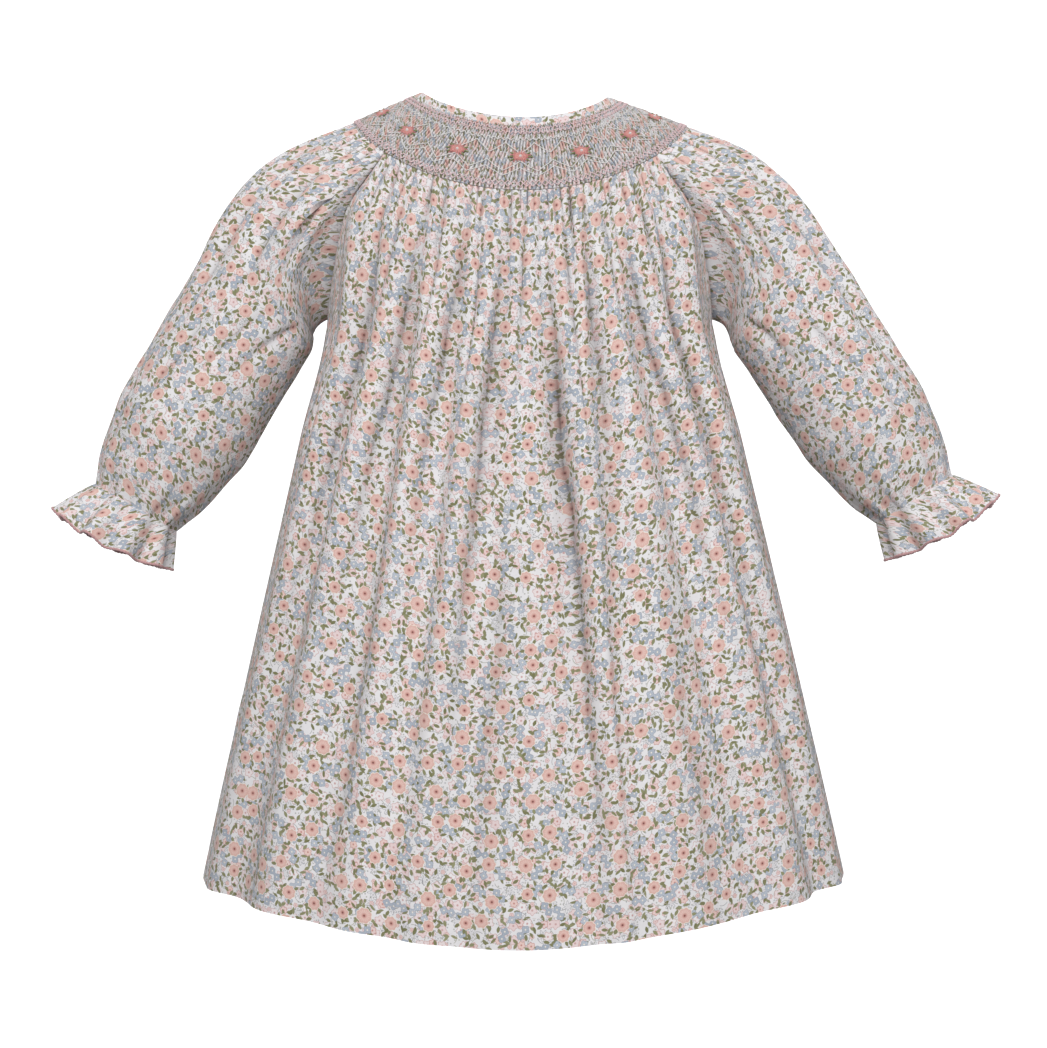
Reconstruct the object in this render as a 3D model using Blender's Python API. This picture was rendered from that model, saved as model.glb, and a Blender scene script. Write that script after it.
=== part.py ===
"""Long-sleeved smocked baby dress, filled out as when worn, with no wearer inside.

Each piece that a maker cuts or sews on is one closed wall of cloth: the smocked yoke, the neck binding,
the front, two back halves, two raglan sleeves, two wrist frills, the back placket and its buttons.
The wearer faces -Y, +X is the wearer's left, and the origin lies in the middle of the neck opening,
level with its two highest points, where the shoulders carry the dress.
"""

import math

import bmesh
import bpy
import numpy as np
from mathutils import Vector

# Cloth and seams, in metres
CLOTH = 0.0012
SEAM_GAP = 0.0003
EDGE_CLEAR = 0.000173
SMOOTH_BELOW = math.radians(50)
NORMAL_STEP = 0.004

# Base colours and roughness
PRINT_COTTON = (0.52, 0.46, 0.43, 0.85)
SMOCKED_COTTON = (0.50, 0.42, 0.40, 0.85)
PALE_PEARL = (0.80, 0.76, 0.72, 0.35)

# Neck opening and smocked yoke: half sizes of the two rings, and how far each ring dips at its middle
NECK_HALF_WIDTH = 0.0492
NECK_HALF_DEPTH = 0.040
NECK_DIP_FRONT = 0.0165
NECK_DIP_BACK = 0.008
NECK_SHIFT = -0.003
NECK_TILT = 0.027
YOKE_TILT = 0.012
YOKE_HALF_WIDTH = 0.090
YOKE_DEPTH_FRONT = 0.064
YOKE_DEPTH_BACK = 0.060
YOKE_SHOULDER_DROP = 0.0162
YOKE_DIP_FRONT = 0.0413
YOKE_DIP_BACK = 0.0328
RING_DIP_POWER = 1.5
BINDING_WIDTH = 0.005
BINDING_THICKNESS = 0.0022
BINDING_RINGS = 48
BINDING_SIDES = 8

# Smocking: pleats drawn together in pairs that change over from row to row
SMOCKING_PLEATS = 96
SMOCKING_ROWS = 6
SMOCKING_RELIEF = 0.0012
SMOCKING_LINK = 0.55
SMOCKING_PLAIN_BACK = 0.010
SMOCKING_PLAIN_FADE = 0.006
YOKE_INSIDE_COLUMNS = SMOCKING_PLEATS
YOKE_INSIDE_ROWS = 3

# Raglan seams run from these corners on the yoke's lower ring down to the underarm
RAGLAN_CORNER_FRONT = math.radians(53)
RAGLAN_CORNER_BACK = math.radians(127)
UNDERARM_DROP = 0.120
RAGLAN_CURVE = 1.5
RAGLAN_COLUMNS = 10
MITRE_LIMIT = 0.5
FRONT_COLUMNS = 44
BACK_COLUMNS = 36
PANEL_ROWS = 11
SLEEVE_TOP_COLUMNS = 20
SLEEVE_CAP_ROWS = 6
SLEEVE_ARM_ROWS = 7

# Skirt: the hem is lower in the middle than at the side seams
HEM_DROP_SIDE = 0.4170
HEM_DIP = 0.0275
HEM_DIP_POWER = 1.6
HEM_TILT = 0.0012
SKIRT_SWAY = 0.0057
ROUNDNESS = 2.4
SPREAD_POWER = 1.3
SETTLE_POWER = 6
ROW_CROWDING = 1.25
HEM_SAMPLES = 721

# Folds: their raised edges as a share of the valley, where along the panel they start and fade, as shares
# of its length or of the fold's own, and how much later they start near the raglan seams
FOLD_EDGE_HEIGHT = 0.42
FOLD_EDGE_AT = 1.9
FOLD_EDGE_WIDTH = 0.9
FOLD_START = 0.05
FOLD_START_LATER = 0.25
FOLD_LATER_FROM = 0.6
FOLD_FADE_FROM = 0.45
HEM_FOLD_FULL = 0.5

# Sleeves: a straight arm from a pivot in the shoulder, leaning out by these angles
PIVOT_RIGHT = 0.117
PIVOT_LEFT = 0.1148
PIVOT_DROP = 0.069
LEFT_SLIMMER = 0.96
LEAN_RIGHT = math.radians(30.3)
LEAN_LEFT = math.radians(33.0)
ARM_FORWARD = math.radians(3)
CAP_END = 0.058
UNDERARM_SLOPE = 0.3
SLEEVE_FOLD_START = 0.2
SLEEVE_FADE_FROM = 0.4
CAP_FULLNESS_RIGHT = 1.6
CAP_FULLNESS_LEFT = 1.42
CAP_LIFT = 0.12
SLEEVE_DEPTH_SHARE = 0.95

# Wrist frill
WRIST_AT = 0.177
FRILL_LENGTH = 0.024
FRILL_WAVES = 10
FRILL_COLUMNS = 50
FRILL_ROWS = 2
FRILL_FLARE = 0.0125
FRILL_FLARE_POWER = 0.8
FRILL_WAVE_DEPTH = 0.0034
FRILL_SWING = 0.0012
FRILL_DRIFT = 0.6
FRILL_DRIFT_WAVES = 3
FRILL_SHORT_UNDER = 0.16
FRILL_LONG_FRONT = 0.12
FRILL_CLOSE_UNDER = 0.55
FRILL_BEND_LEFT = 0.001
FRILL_BEND_RIGHT = -0.001
WRIST_GATHER = 0.0011
WRIST_GATHER_FROM = 0.135

# Back placket and its buttons
PLACKET_WIDTH = 0.012
PLACKET_THICKNESS = 0.001
PLACKET_COLUMNS = 4
PLACKET_BACK_ROWS = 2
PLACKET_START = 0.3
PLACKET_CLEAR = 0.0004
BUTTON_RADIUS = 0.0052
BUTTON_THICKNESS = 0.0022
BUTTON_DISH = 0.0007
BUTTON_SIDES = 12
BUTTON_AT = (0.10, 0.46, 0.8125)
BUTTON_SMOOTH_BELOW = math.radians(40)


def table(names, *rows):
    """Named columns of a small table, as arrays."""
    return dict(zip(names.split(), np.array(rows, float).T))


# A button's outline from its foot to its dish, as shares of its radius and thickness
BUTTON_PROFILE = table(
    "across height",
    (0.86, 0.00),
    (1.00, 0.40),
    (0.94, 1.00),
    (0.74, 1.00),
    (0.60, 1.00),
)

# Outline of the body at several heights, as half sizes
TORSO = table(
    "drop half_width front_depth back_depth",
    (0.000, 0.060, 0.056, 0.052),
    (0.036, 0.083, 0.064, 0.060),
    (0.073, 0.1025, 0.072, 0.068),
    (0.120, 0.1035, 0.078, 0.074),
    (0.185, 0.1185, 0.088, 0.084),
    (0.369, 0.1608, 0.113, 0.108),
    (0.450, 0.1785, 0.121, 0.116),
)

# Sleeve half width at several distances down the arm from the shoulder pivot
ARM = table(
    "reach half_width",
    (0.050, 0.0380),
    (0.125, 0.0378),
    (0.145, 0.0345),
    (0.163, 0.0300),
    (0.171, 0.0262),
    (0.177, 0.0236),
)

# Folds: place across the panel from -1 to 1 at the yoke, and at the hem if the fold lasts so far,
# half width, depth below the yoke and at the hem, and the share of the panel's length that it lives
FRONT_FOLDS = table(
    "at_yoke at_hem width depth depth_hem reach",
    (-0.050, -0.133, 0.054, 0.0050, 0.0022, 1.30),
    (0.085, 0.135, 0.060, 0.0056, 0.0026, 1.30),
    (0.250, 0.270, 0.052, 0.0044, 0.0016, 1.10),
    (0.400, 0.520, 0.054, 0.0046, 0.0022, 1.20),
    (0.570, 0.720, 0.056, 0.0036, 0.0036, 1.30),
    (-0.210, -0.290, 0.050, 0.0038, 0.0018, 1.10),
    (-0.390, -0.480, 0.056, 0.0042, 0.0020, 1.10),
    (-0.570, -0.700, 0.060, 0.0034, 0.0040, 1.30),
    (-0.300, 0.000, 0.034, 0.0026, 0.0000, 0.24),
    (-0.130, 0.000, 0.034, 0.0024, 0.0000, 0.26),
    (0.170, 0.000, 0.034, 0.0026, 0.0000, 0.30),
    (0.325, 0.000, 0.034, 0.0024, 0.0000, 0.24),
    (0.485, 0.000, 0.034, 0.0024, 0.0000, 0.22),
    (-0.480, 0.000, 0.034, 0.0024, 0.0000, 0.24),
)
BACK_FOLDS = table(
    "at_yoke at_hem width depth depth_hem reach",
    (-0.160, -0.180, 0.056, 0.0048, 0.0024, 1.30),
    (0.175, 0.200, 0.058, 0.0050, 0.0026, 1.30),
    (0.330, 0.370, 0.054, 0.0042, 0.0018, 1.10),
    (-0.340, -0.390, 0.054, 0.0044, 0.0020, 1.20),
    (0.500, 0.600, 0.058, 0.0038, 0.0034, 1.30),
    (-0.520, -0.620, 0.058, 0.0036, 0.0032, 1.30),
    (-0.250, 0.000, 0.036, 0.0026, 0.0000, 0.26),
    (0.255, 0.000, 0.036, 0.0026, 0.0000, 0.30),
    (0.415, 0.000, 0.036, 0.0024, 0.0000, 0.22),
    (-0.430, 0.000, 0.036, 0.0026, 0.0000, 0.24),
)

# Sleeve folds: place round the sleeve as a share from the underarm, forwards, at the yoke and lower
# down, half width, depth, and the distances down the sleeve where the fold is deepest and ends
RIGHT_SLEEVE_FOLDS = table(
    "at_yoke at_wrist width depth reach",
    (0.425, 0.330, 0.030, 0.0048, 0.55),
    (0.340, 0.250, 0.030, 0.0056, 0.42),
    (0.270, 0.150, 0.028, 0.0040, 0.38),
    (0.620, 0.660, 0.030, 0.0046, 0.50),
    (0.720, 0.790, 0.028, 0.0044, 0.42),
)
LEFT_SLEEVE_FOLDS = table(
    "at_yoke at_wrist width depth reach",
    (0.390, 0.415, 0.028, 0.0052, 0.90),
    (0.315, 0.250, 0.030, 0.0050, 0.45),
    (0.265, 0.150, 0.028, 0.0036, 0.38),
    (0.610, 0.600, 0.030, 0.0046, 0.55),
    (0.710, 0.780, 0.028, 0.0044, 0.42),
)


def through(at, places, values):
    """Smooth curve through a table's values that never overshoots them."""
    step = np.diff(places)
    slope = np.diff(values) / step
    tangent = np.concatenate([slope[:1], np.zeros(len(slope) - 1), slope[-1:]])
    same = slope[1:] * slope[:-1] > 0
    mean = 2 * slope[1:] * slope[:-1] / np.where(same, slope[1:] + slope[:-1], 1)
    tangent[1:-1] = np.where(same, mean, 0)
    at = np.clip(at, places[0], places[-1])
    i = np.clip(np.searchsorted(places, at, side="right") - 1, 0, len(step) - 1)
    t = (at - places[i]) / step[i]
    rise = values[i + 1] - values[i]
    ends = values[i] + rise * t * t * (3 - 2 * t)
    bends = step[i] * t * (1 - t) * (tangent[i] * (1 - t) - tangent[i + 1] * t)
    return ends + bends


def unit(vectors):
    """Vectors of length one."""
    return vectors / np.linalg.norm(vectors, axis=-1, keepdims=True)


def smooth_step(t):
    """0 before 0, 1 after 1, smooth between."""
    t = np.clip(t, 0, 1)
    return t * t * (3 - 2 * t)


def ring(phi, half_width, depth_front, depth_back, drop, dip_front, dip_back):
    """A ring round the neck that dips at front and back. phi is 0 at the front and grows towards +X."""
    front = np.cos(phi) > 0
    depth = np.where(front, depth_front, depth_back)
    dip = np.where(front, dip_front, dip_back)
    z = -drop - dip * np.abs(np.cos(phi)) ** RING_DIP_POWER
    return np.stack([half_width * np.sin(phi), -depth * np.cos(phi), z], -1)


def neck_ring(phi):
    """Upper edge of the neck binding."""
    points = ring(phi, NECK_HALF_WIDTH, NECK_HALF_DEPTH, NECK_HALF_DEPTH, 0, NECK_DIP_FRONT, NECK_DIP_BACK)
    sideways = np.abs(np.sin(phi))
    points[..., 2] -= NECK_TILT * points[..., 0]
    points[..., 0] += NECK_SHIFT * sideways
    return points


def yoke_ring(phi):
    """Lower edge of the smocked yoke."""
    half_sizes = (YOKE_HALF_WIDTH, YOKE_DEPTH_FRONT, YOKE_DEPTH_BACK)
    points = ring(phi, *half_sizes, YOKE_SHOULDER_DROP, YOKE_DIP_FRONT, YOKE_DIP_BACK)
    points[..., 2] -= YOKE_TILT * points[..., 0]
    return points


def yoke_surface(phi, down):
    """The yoke's middle surface. down is 0 at the neck ring and 1 at the lower ring."""
    top = neck_ring(phi)
    return top + (yoke_ring(phi) - top) * down[..., None]


def torso_radius(theta, drop, face):
    """Distance of the body's surface from the upright middle line, face being 1 at the front, -1 behind."""
    half_width = through(drop, TORSO["drop"], TORSO["half_width"])
    depth = through(drop, TORSO["drop"], TORSO["front_depth" if face > 0 else "back_depth"])
    across = np.abs(np.sin(theta) / half_width) ** ROUNDNESS
    along = np.abs(np.cos(theta) / depth) ** ROUNDNESS
    return (across + along) ** (-1 / ROUNDNESS)


def from_polar(theta, radius, drop, face):
    """A point from its angle off the middle of the face, its radius and its drop."""
    return np.stack([radius * np.sin(theta), -face * radius * np.cos(theta), -drop], -1)


def to_polar(points, face):
    """Angle off the middle of the face, radius and drop of each point."""
    x, y = points[..., 0], points[..., 1]
    return np.arctan2(x, -face * y), np.hypot(x, y), -points[..., 2]


def corner_angle(face):
    """Where the raglan seams leave the yoke's lower ring, as an angle from the front."""
    return RAGLAN_CORNER_FRONT if face > 0 else RAGLAN_CORNER_BACK


def raglan(side, face, down):
    """The raglan seam, from 0 at the yoke to 1 at the underarm. It lies on the body's surface."""
    corner = yoke_ring(np.array(side * corner_angle(face)))
    theta_0, radius_0, drop_0 = to_polar(corner, face)
    theta_0 = abs(theta_0)
    theta = theta_0 + (math.pi / 2 - theta_0) * down
    drop = drop_0 + (UNDERARM_DROP - drop_0) * (1 - (1 - down) ** RAGLAN_CURVE)
    lift = radius_0 - torso_radius(theta_0, drop_0, face)
    radius = torso_radius(theta, drop, face) + lift * (1 - down) ** 2
    return from_polar(side * theta, radius, drop, face)


def hem_drop(theta):
    """The hem's height all round."""
    return HEM_DROP_SIDE + HEM_DIP * np.abs(np.cos(theta)) ** HEM_DIP_POWER - HEM_TILT * np.sin(theta)


def hem_angles(across, face, folds):
    """Where each place across a panel meets the hem, so that its columns run down along the folds."""
    fine = np.linspace(-math.pi / 2, math.pi / 2, HEM_SAMPLES)
    drop = hem_drop(fine)
    points = from_polar(fine, torso_radius(fine, drop, face), drop, face)
    run = np.concatenate([[0], np.cumsum(np.linalg.norm(np.diff(points, axis=0), axis=1))])
    lasting = folds["depth_hem"] > 0
    order = np.argsort(folds["at_yoke"][lasting])
    at_yoke = np.concatenate([[-1], folds["at_yoke"][lasting][order], [1]])
    at_hem = np.concatenate([[-1], folds["at_hem"][lasting][order], [1]])
    share = (through(across, at_yoke, at_hem) + 1) / 2
    return np.interp(share * run[-1], run, fine)


def fold_profile(offset):
    """One fold across its width: a valley between two soft raised edges."""
    edges = np.exp(-(((np.abs(offset) - FOLD_EDGE_AT) / FOLD_EDGE_WIDTH) ** 2))
    return np.exp(-(offset**2)) - FOLD_EDGE_HEIGHT * edges


def panel_folds(across, down, folds):
    """How far the folds push a panel's cloth in, from the place across it and the share of the way down."""
    push = np.zeros(np.broadcast(across, down).shape)
    later = smooth_step((np.abs(across) - FOLD_LATER_FROM) / (1 - FOLD_LATER_FROM))
    starts = smooth_step(down / (FOLD_START + FOLD_START_LATER * later))
    for middle, _, width, depth, depth_hem, reach in zip(*folds.values()):
        fades = 1 - smooth_step((down / reach - FOLD_FADE_FROM) / (1 - FOLD_FADE_FROM))
        stays = depth_hem * smooth_step(down / HEM_FOLD_FULL)
        push += (depth * starts * fades + stays) * fold_profile((across - middle) / width)
    return push


def panel_surface(face, folds, raglan_columns, yoke_columns, rows):
    """Middle surface of the front or back as a grid of rows and columns, from -X to +X."""
    seam = np.linspace(0, 1, raglan_columns + 1)
    corner = corner_angle(face)
    arc = np.linspace(-corner, corner, yoke_columns + 1)
    if face < 0:
        arc = np.linspace(2 * math.pi - corner, corner, yoke_columns + 1)
    top = np.concatenate([raglan(-1, face, seam[:0:-1]), yoke_ring(arc), raglan(1, face, seam[1:])])
    across = np.linspace(-1, 1, len(top))
    theta_0, radius_0, drop_0 = to_polar(top, face)
    theta_1 = hem_angles(across, face, folds)
    down = (np.linspace(0, 1, rows + 1) ** ROW_CROWDING)[:, None]
    theta = theta_0 + (theta_1 - theta_0) * (1 - (1 - down) ** SPREAD_POWER)
    drop = drop_0 + (hem_drop(theta_1) - drop_0) * down
    lift = (radius_0 - torso_radius(theta_0, drop_0, face)) * (1 - down) ** SETTLE_POWER
    radius = torso_radius(theta, drop, face) + lift - panel_folds(across, down, folds)
    points = from_polar(theta, radius, drop, face)
    points[..., 0] += SKIRT_SWAY * (drop - drop_0) * smooth_step(down * 2)
    return points


def arm_frame(side):
    """The shoulder pivot, the direction down the arm, and the direction square to it, away from the body."""
    lean = LEAN_LEFT if side > 0 else LEAN_RIGHT
    pivot = np.array([side * (PIVOT_LEFT if side > 0 else PIVOT_RIGHT), 0, -PIVOT_DROP])
    along = unit(np.array([side * math.sin(lean), -math.tan(ARM_FORWARD), -math.cos(lean)]))
    forward = unit(np.array([0, -1, 0]) + along * along[1])
    out = unit(np.cross(forward, along) * side)
    return pivot, along, out, forward


def wrist_gathers(turn, reach):
    """How far the elastic's gathers push the sleeve in and out near the wrist."""
    near = smooth_step((reach - WRIST_GATHER_FROM) / (WRIST_AT - WRIST_GATHER_FROM))
    return WRIST_GATHER * near * np.cos(FRILL_WAVES * turn)


def arm_ring(side, turn, reach, extra=0.0):
    """Points round the sleeve. turn is 0 on the underside and grows towards the front."""
    pivot, along, out, forward = arm_frame(side)
    slimmer = LEFT_SLIMMER if side > 0 else 1
    half_width = through(reach, ARM["reach"], ARM["half_width"]) * slimmer + extra
    cos, sin = np.cos(turn)[..., None], np.sin(turn)[..., None]
    centre = pivot + along * reach[..., None]
    return centre + half_width[..., None] * (-out * cos + forward * sin * SLEEVE_DEPTH_SHARE)


def sleeve_surface(side, folds, raglan_columns, top_columns, cap_rows, arm_rows):
    """Middle surface of a sleeve as closed rings, from the raglan seams and yoke down to the wrist."""
    seam = np.linspace(0, 1, raglan_columns + 1)
    arc = np.linspace(RAGLAN_CORNER_FRONT, RAGLAN_CORNER_BACK, top_columns + 1)
    before, behind = raglan(side, 1, seam[:0:-1]), raglan(side, -1, seam[1:-1])
    start = np.concatenate([before, yoke_ring(side * arc), behind])
    yoke_slope = unit(yoke_ring(side * arc) - neck_ring(side * arc))
    along = arm_frame(side)[1]
    tuck = unit(np.array([side, 0, -UNDERARM_SLOPE]))
    lean_front = yoke_slope[0] + (tuck - yoke_slope[0]) * seam[:0:-1, None] ** 2
    lean_back = yoke_slope[-1] + (tuck - yoke_slope[-1]) * seam[1:-1, None] ** 2
    leave = np.concatenate([lean_front, yoke_slope, lean_back])
    leave[:, 2] += CAP_LIFT
    leave = unit(leave)
    turn = np.linspace(0, 2 * math.pi, len(start), endpoint=False)
    end = arm_ring(side, turn, np.full(len(start), CAP_END))
    span = np.linalg.norm(end - start, axis=1)[:, None]
    t = np.linspace(0, 1, cap_rows + 1)[:, None, None]
    fullness = CAP_FULLNESS_LEFT if side > 0 else CAP_FULLNESS_RIGHT
    bend_out, bend_in = leave * span * fullness, along * span
    cap = (
        start * (1 + 2 * t) * (1 - t) ** 2
        + end * t * t * (3 - 2 * t)
        + bend_out * t * (1 - t) ** 2
        + bend_in * t * t * (t - 1)
    )
    reach = np.linspace(CAP_END, WRIST_AT, arm_rows + 1)[1:, None]
    arm = arm_ring(side, turn[None, :], reach, wrist_gathers(turn[None, :], reach))
    grid = np.concatenate([cap, arm])
    rows = np.linspace(0, 1, len(grid))[:, None]
    share = (turn / (2 * math.pi))[None, :]
    push = np.zeros(grid.shape[:2])
    for at_yoke, at_wrist, width, depth, far in zip(*folds.values()):
        middle = at_yoke + (at_wrist - at_yoke) * rows
        fades = 1 - smooth_step((rows / far - SLEEVE_FADE_FROM) / (1 - SLEEVE_FADE_FROM))
        lives = smooth_step(rows / SLEEVE_FOLD_START) * fades
        push += depth * lives * fold_profile((share - middle) / width)
    return grid - grid_normals(grid, True, side) * push[..., None]


def grid_normals(grid, closed, sense=1):
    """Outward unit normals at a grid's points, from the differences to their neighbours."""
    if closed:
        across = np.roll(grid, -1, 1) - np.roll(grid, 1, 1)
    else:
        across = np.gradient(grid, axis=1)
    return unit(np.cross(np.gradient(grid, axis=0), across)) * sense


def seam_side(curve, normal, towards):
    """Unit directions square to a seam and to its shared normal, on the side that the panel lies."""
    tangent = np.gradient(curve, axis=0)
    square = unit(np.cross(tangent, normal))
    return square * np.sign(np.sum(square * towards, -1, keepdims=True))


def wall_points(grid, normals, gap=0.0):
    """Outer and inner points of a wall of cloth, its edges moved clear of the seams by gap."""
    middle = grid + gap
    return middle + normals * CLOTH / 2, middle - normals * CLOTH / 2


def strip(faces, points, upper, lower):
    """Triangles between two runs of vertices. Runs of one length take the shorter diagonals."""
    i = j = 0
    while i < len(upper) - 1 or j < len(lower) - 1:
        if len(upper) == len(lower):
            quad = (upper[i], lower[i], lower[i + 1], upper[i + 1])
            across = np.linalg.norm(points[quad[0]] - points[quad[2]])
            other = np.linalg.norm(points[quad[1]] - points[quad[3]])
            turn = 0 if across < other else 1
            faces.append((quad[turn], quad[1 + turn], quad[2 + turn]))
            faces.append((quad[turn], quad[2 + turn], quad[(3 + turn) % 4]))
            i = j = i + 1
        elif j == len(lower) - 1 or (
            i < len(upper) - 1 and (i + 0.5) * (len(lower) - 1) <= (j + 0.5) * (len(upper) - 1)
        ):
            faces.append((upper[i], lower[j], upper[i + 1]))
            i += 1
        else:
            faces.append((upper[i], lower[j], lower[j + 1]))
            j += 1


def wall_object(name, outer, inner, closed, colour):
    """A closed wall between two grids that share their four edges, or two, if the wall is a tube."""
    faces = []
    grids = []
    first = 0
    for grid in (outer, inner):
        rows, columns = grid.shape[:2]
        ids = np.arange(rows * columns).reshape(rows, columns) + first
        first += rows * columns
        if closed:
            ids = np.concatenate([ids, ids[:, :1]], 1)
        grids.append(ids)
    outside, inside = grids
    for ids, flip in ((outside, False), (inside, True)):
        for a, b in zip(ids[:-1], ids[1:]):
            for i in range(len(a) - 1):
                quad = (a[i], b[i], b[i + 1], a[i + 1])
                pair = [(quad[0], quad[1], quad[2]), (quad[0], quad[2], quad[3])]
                faces += [face[::-1] for face in pair] if flip else pair
    points = np.concatenate([outer.reshape(-1, 3), inner.reshape(-1, 3)])
    strip(faces, points, inside[0], outside[0])
    strip(faces, points, outside[-1], inside[-1])
    if not closed:
        strip(faces, points, outside[:, 0], inside[:, 0])
        strip(faces, points, inside[:, -1], outside[:, -1])
    return mesh_object(name, points, faces, colour)


def mesh_object(name, points, faces, colour):
    """An object from points and faces, with its faces turned outwards and its own material."""
    mesh = bpy.data.meshes.new(name)
    mesh.from_pydata(points.tolist(), [], [[int(i) for i in face] for face in faces])
    shape = bmesh.new()
    shape.from_mesh(mesh)
    bmesh.ops.recalc_face_normals(shape, faces=shape.faces)
    shape.to_mesh(mesh)
    shape.free()
    mesh.shade_smooth()
    mesh.set_sharp_from_angle(angle=SMOOTH_BELOW)
    mesh.materials.append(cloth_material(name, *colour))
    made = bpy.data.objects.new(name, mesh)
    bpy.context.scene.collection.objects.link(made)
    return made


def cloth_material(name, red, green, blue, roughness):
    """A plain non-metallic finish in the piece's main colour."""
    material = bpy.data.materials.new(name)
    material.use_nodes = True
    shader = material.node_tree.nodes["Principled BSDF"]
    shader.inputs["Base Color"].default_value = (red, green, blue, 1)
    shader.inputs["Roughness"].default_value = roughness
    shader.inputs["Metallic"].default_value = 0
    return material


def yoke_normals(phi):
    """The direction square to the yoke at its lower ring, which the pieces that meet there share."""
    around = yoke_ring(phi + NORMAL_STEP) - yoke_ring(phi - NORMAL_STEP)
    return unit(np.cross(yoke_ring(phi) - neck_ring(phi), around))


def build_yoke():
    """The smocked band round the neck: pleats raised in the outer points over a plain inside."""
    outer = yoke_wall(2 * SMOCKING_PLEATS, SMOCKING_ROWS, CLOTH / 2, True)
    inner = yoke_wall(YOKE_INSIDE_COLUMNS, YOKE_INSIDE_ROWS, -CLOTH / 2, False)
    wall_object("smocked_yoke", outer, inner, False, SMOCKED_COTTON)
    return outer


def yoke_wall(columns, rows, offset, smocked):
    """One face of the yoke, open along the middle of the back and clear of its neighbours."""
    phi = np.linspace(-math.pi, math.pi, columns + 1)[None, :]
    top, bottom = neck_ring(phi[0]), yoke_ring(phi[0])
    length = np.linalg.norm(bottom - top, axis=1)
    first = (BINDING_WIDTH + SEAM_GAP) / length
    last = 1 - SEAM_GAP / 2 / length
    share = np.linspace(0, 1, rows + 1)[:, None]
    down = first + (last - first) * share
    grid = yoke_surface(phi * np.ones_like(down), down)
    normals = grid_normals(grid, False)
    normals[-1] = yoke_normals(phi[0])
    height = np.full(grid.shape[:2], offset)
    if smocked:
        height += smocking(columns, rows, grid)
    grid[:, 0, 0] -= SEAM_GAP / 2
    grid[:, -1, 0] += SEAM_GAP / 2
    return grid + normals * height[..., None]


def smocking(columns, rows, grid):
    """Height of the pleats: neighbours are drawn together in pairs, and the pairs change over each row."""
    column = np.arange(columns + 1)[None, :]
    row = np.arange(rows + 1)[:, None]
    linked = (column + 2 * row) % 4 == 1
    height = np.where(column % 2 == 0, 1.0, np.where(linked, SMOCKING_LINK, 0.0))
    from_opening = np.abs(grid[..., 0])
    behind = grid[..., 1] > 0
    rises = smooth_step((from_opening - SMOCKING_PLAIN_BACK) / SMOCKING_PLAIN_FADE)
    plain = np.where(behind, rises, 1)
    return SMOCKING_RELIEF * height * plain


def build_binding():
    """The bias band round the neck, a flat oval carried along the neck ring, its ends at the back."""
    phi = np.linspace(-math.pi, math.pi, BINDING_RINGS + 1)
    top = neck_ring(phi)
    slope = unit(yoke_ring(phi) - top)
    around = unit(np.gradient(top, axis=0))
    out = unit(np.cross(slope, around))
    middle = top + slope * BINDING_WIDTH / 2
    middle[0, 0] -= SEAM_GAP / 2
    middle[-1, 0] += SEAM_GAP / 2
    half_side = math.pi / BINDING_SIDES
    turn = np.linspace(0, 2 * math.pi, BINDING_SIDES, endpoint=False) + half_side
    tall = BINDING_WIDTH / 2 / math.cos(half_side)
    thick = BINDING_THICKNESS / 2 / math.cos(half_side)
    points = (
        middle[:, None]
        + slope[:, None] * (tall * np.cos(turn))[None, :, None]
        + out[:, None] * (thick * np.sin(turn))[None, :, None]
    )
    rings, sides = points.shape[:2]
    faces = []
    for i in range(rings - 1):
        for j in range(sides):
            k = (j + 1) % sides
            faces.append((i * sides + j, i * sides + k, (i + 1) * sides + k, (i + 1) * sides + j))
    faces.append(range(sides))
    faces.append(range((rings - 1) * sides, rings * sides))
    return mesh_object("neck_binding", points.reshape(-1, 3), faces, PRINT_COTTON)


def body_grids():
    """Middle surfaces of the front and the back, with normals that agree along the side seams."""
    front = panel_surface(1, FRONT_FOLDS, RAGLAN_COLUMNS, FRONT_COLUMNS, PANEL_ROWS)
    back = panel_surface(-1, BACK_FOLDS, RAGLAN_COLUMNS, BACK_COLUMNS, PANEL_ROWS)
    hoop = np.concatenate([front, back[:, -2:0:-1]], 1)
    normals = grid_normals(hoop, True)
    count = front.shape[1]
    front_normals = normals[:, :count]
    back_normals = np.concatenate([normals[:, count - 1 :], normals[:, :1]], 1)[:, ::-1]
    return front, front_normals, back, back_normals


def shared_seams(front_normals, back_normals, sleeves):
    """Sets the normals on the yoke's ring and the raglan seams to ones that both neighbours use."""
    for face, normals in ((1, front_normals), (-1, back_normals)):
        corner = corner_angle(face)
        ends = (-corner, corner) if face > 0 else (2 * math.pi - corner, corner)
        count = normals.shape[1] - 2 * RAGLAN_COLUMNS
        normals[0, RAGLAN_COLUMNS : RAGLAN_COLUMNS + count] = yoke_normals(np.linspace(*ends, count))
    top_arc = np.linspace(RAGLAN_CORNER_FRONT, RAGLAN_CORNER_BACK, SLEEVE_TOP_COLUMNS + 1)
    for side, normals in sleeves.items():
        count = RAGLAN_COLUMNS
        normals[0, count : count + SLEEVE_TOP_COLUMNS + 1] = yoke_normals(side * top_arc)
        for step in range(count):
            panel_at = -1 - step if side > 0 else step
            for sleeve_at, panel in ((step, front_normals), (-step, back_normals)):
                mean = unit(normals[0, sleeve_at] + panel[0, panel_at])
                mitre = max(float(np.dot(mean, panel[0, panel_at])), MITRE_LIMIT)
                normals[0, sleeve_at] = mean / mitre
                panel[0, panel_at] = mean / mitre
        back_normals[0, -1 if side > 0 else 0] = normals[0, 0]
        front_normals[0, -1 if side > 0 else 0] = normals[0, 0]


def panel_gap(grid, normals, sides):
    """Moves a panel's edges off its seams: the top edge always, and the two upright edges in sides."""
    gap = np.zeros_like(grid)
    gap[0] = seam_side(grid[0], normals[0], grid[1] - grid[0])
    for column, inward in sides:
        gap[:, column] += unit(grid[:, column + inward] - grid[:, column])
    return gap * EDGE_CLEAR


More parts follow.
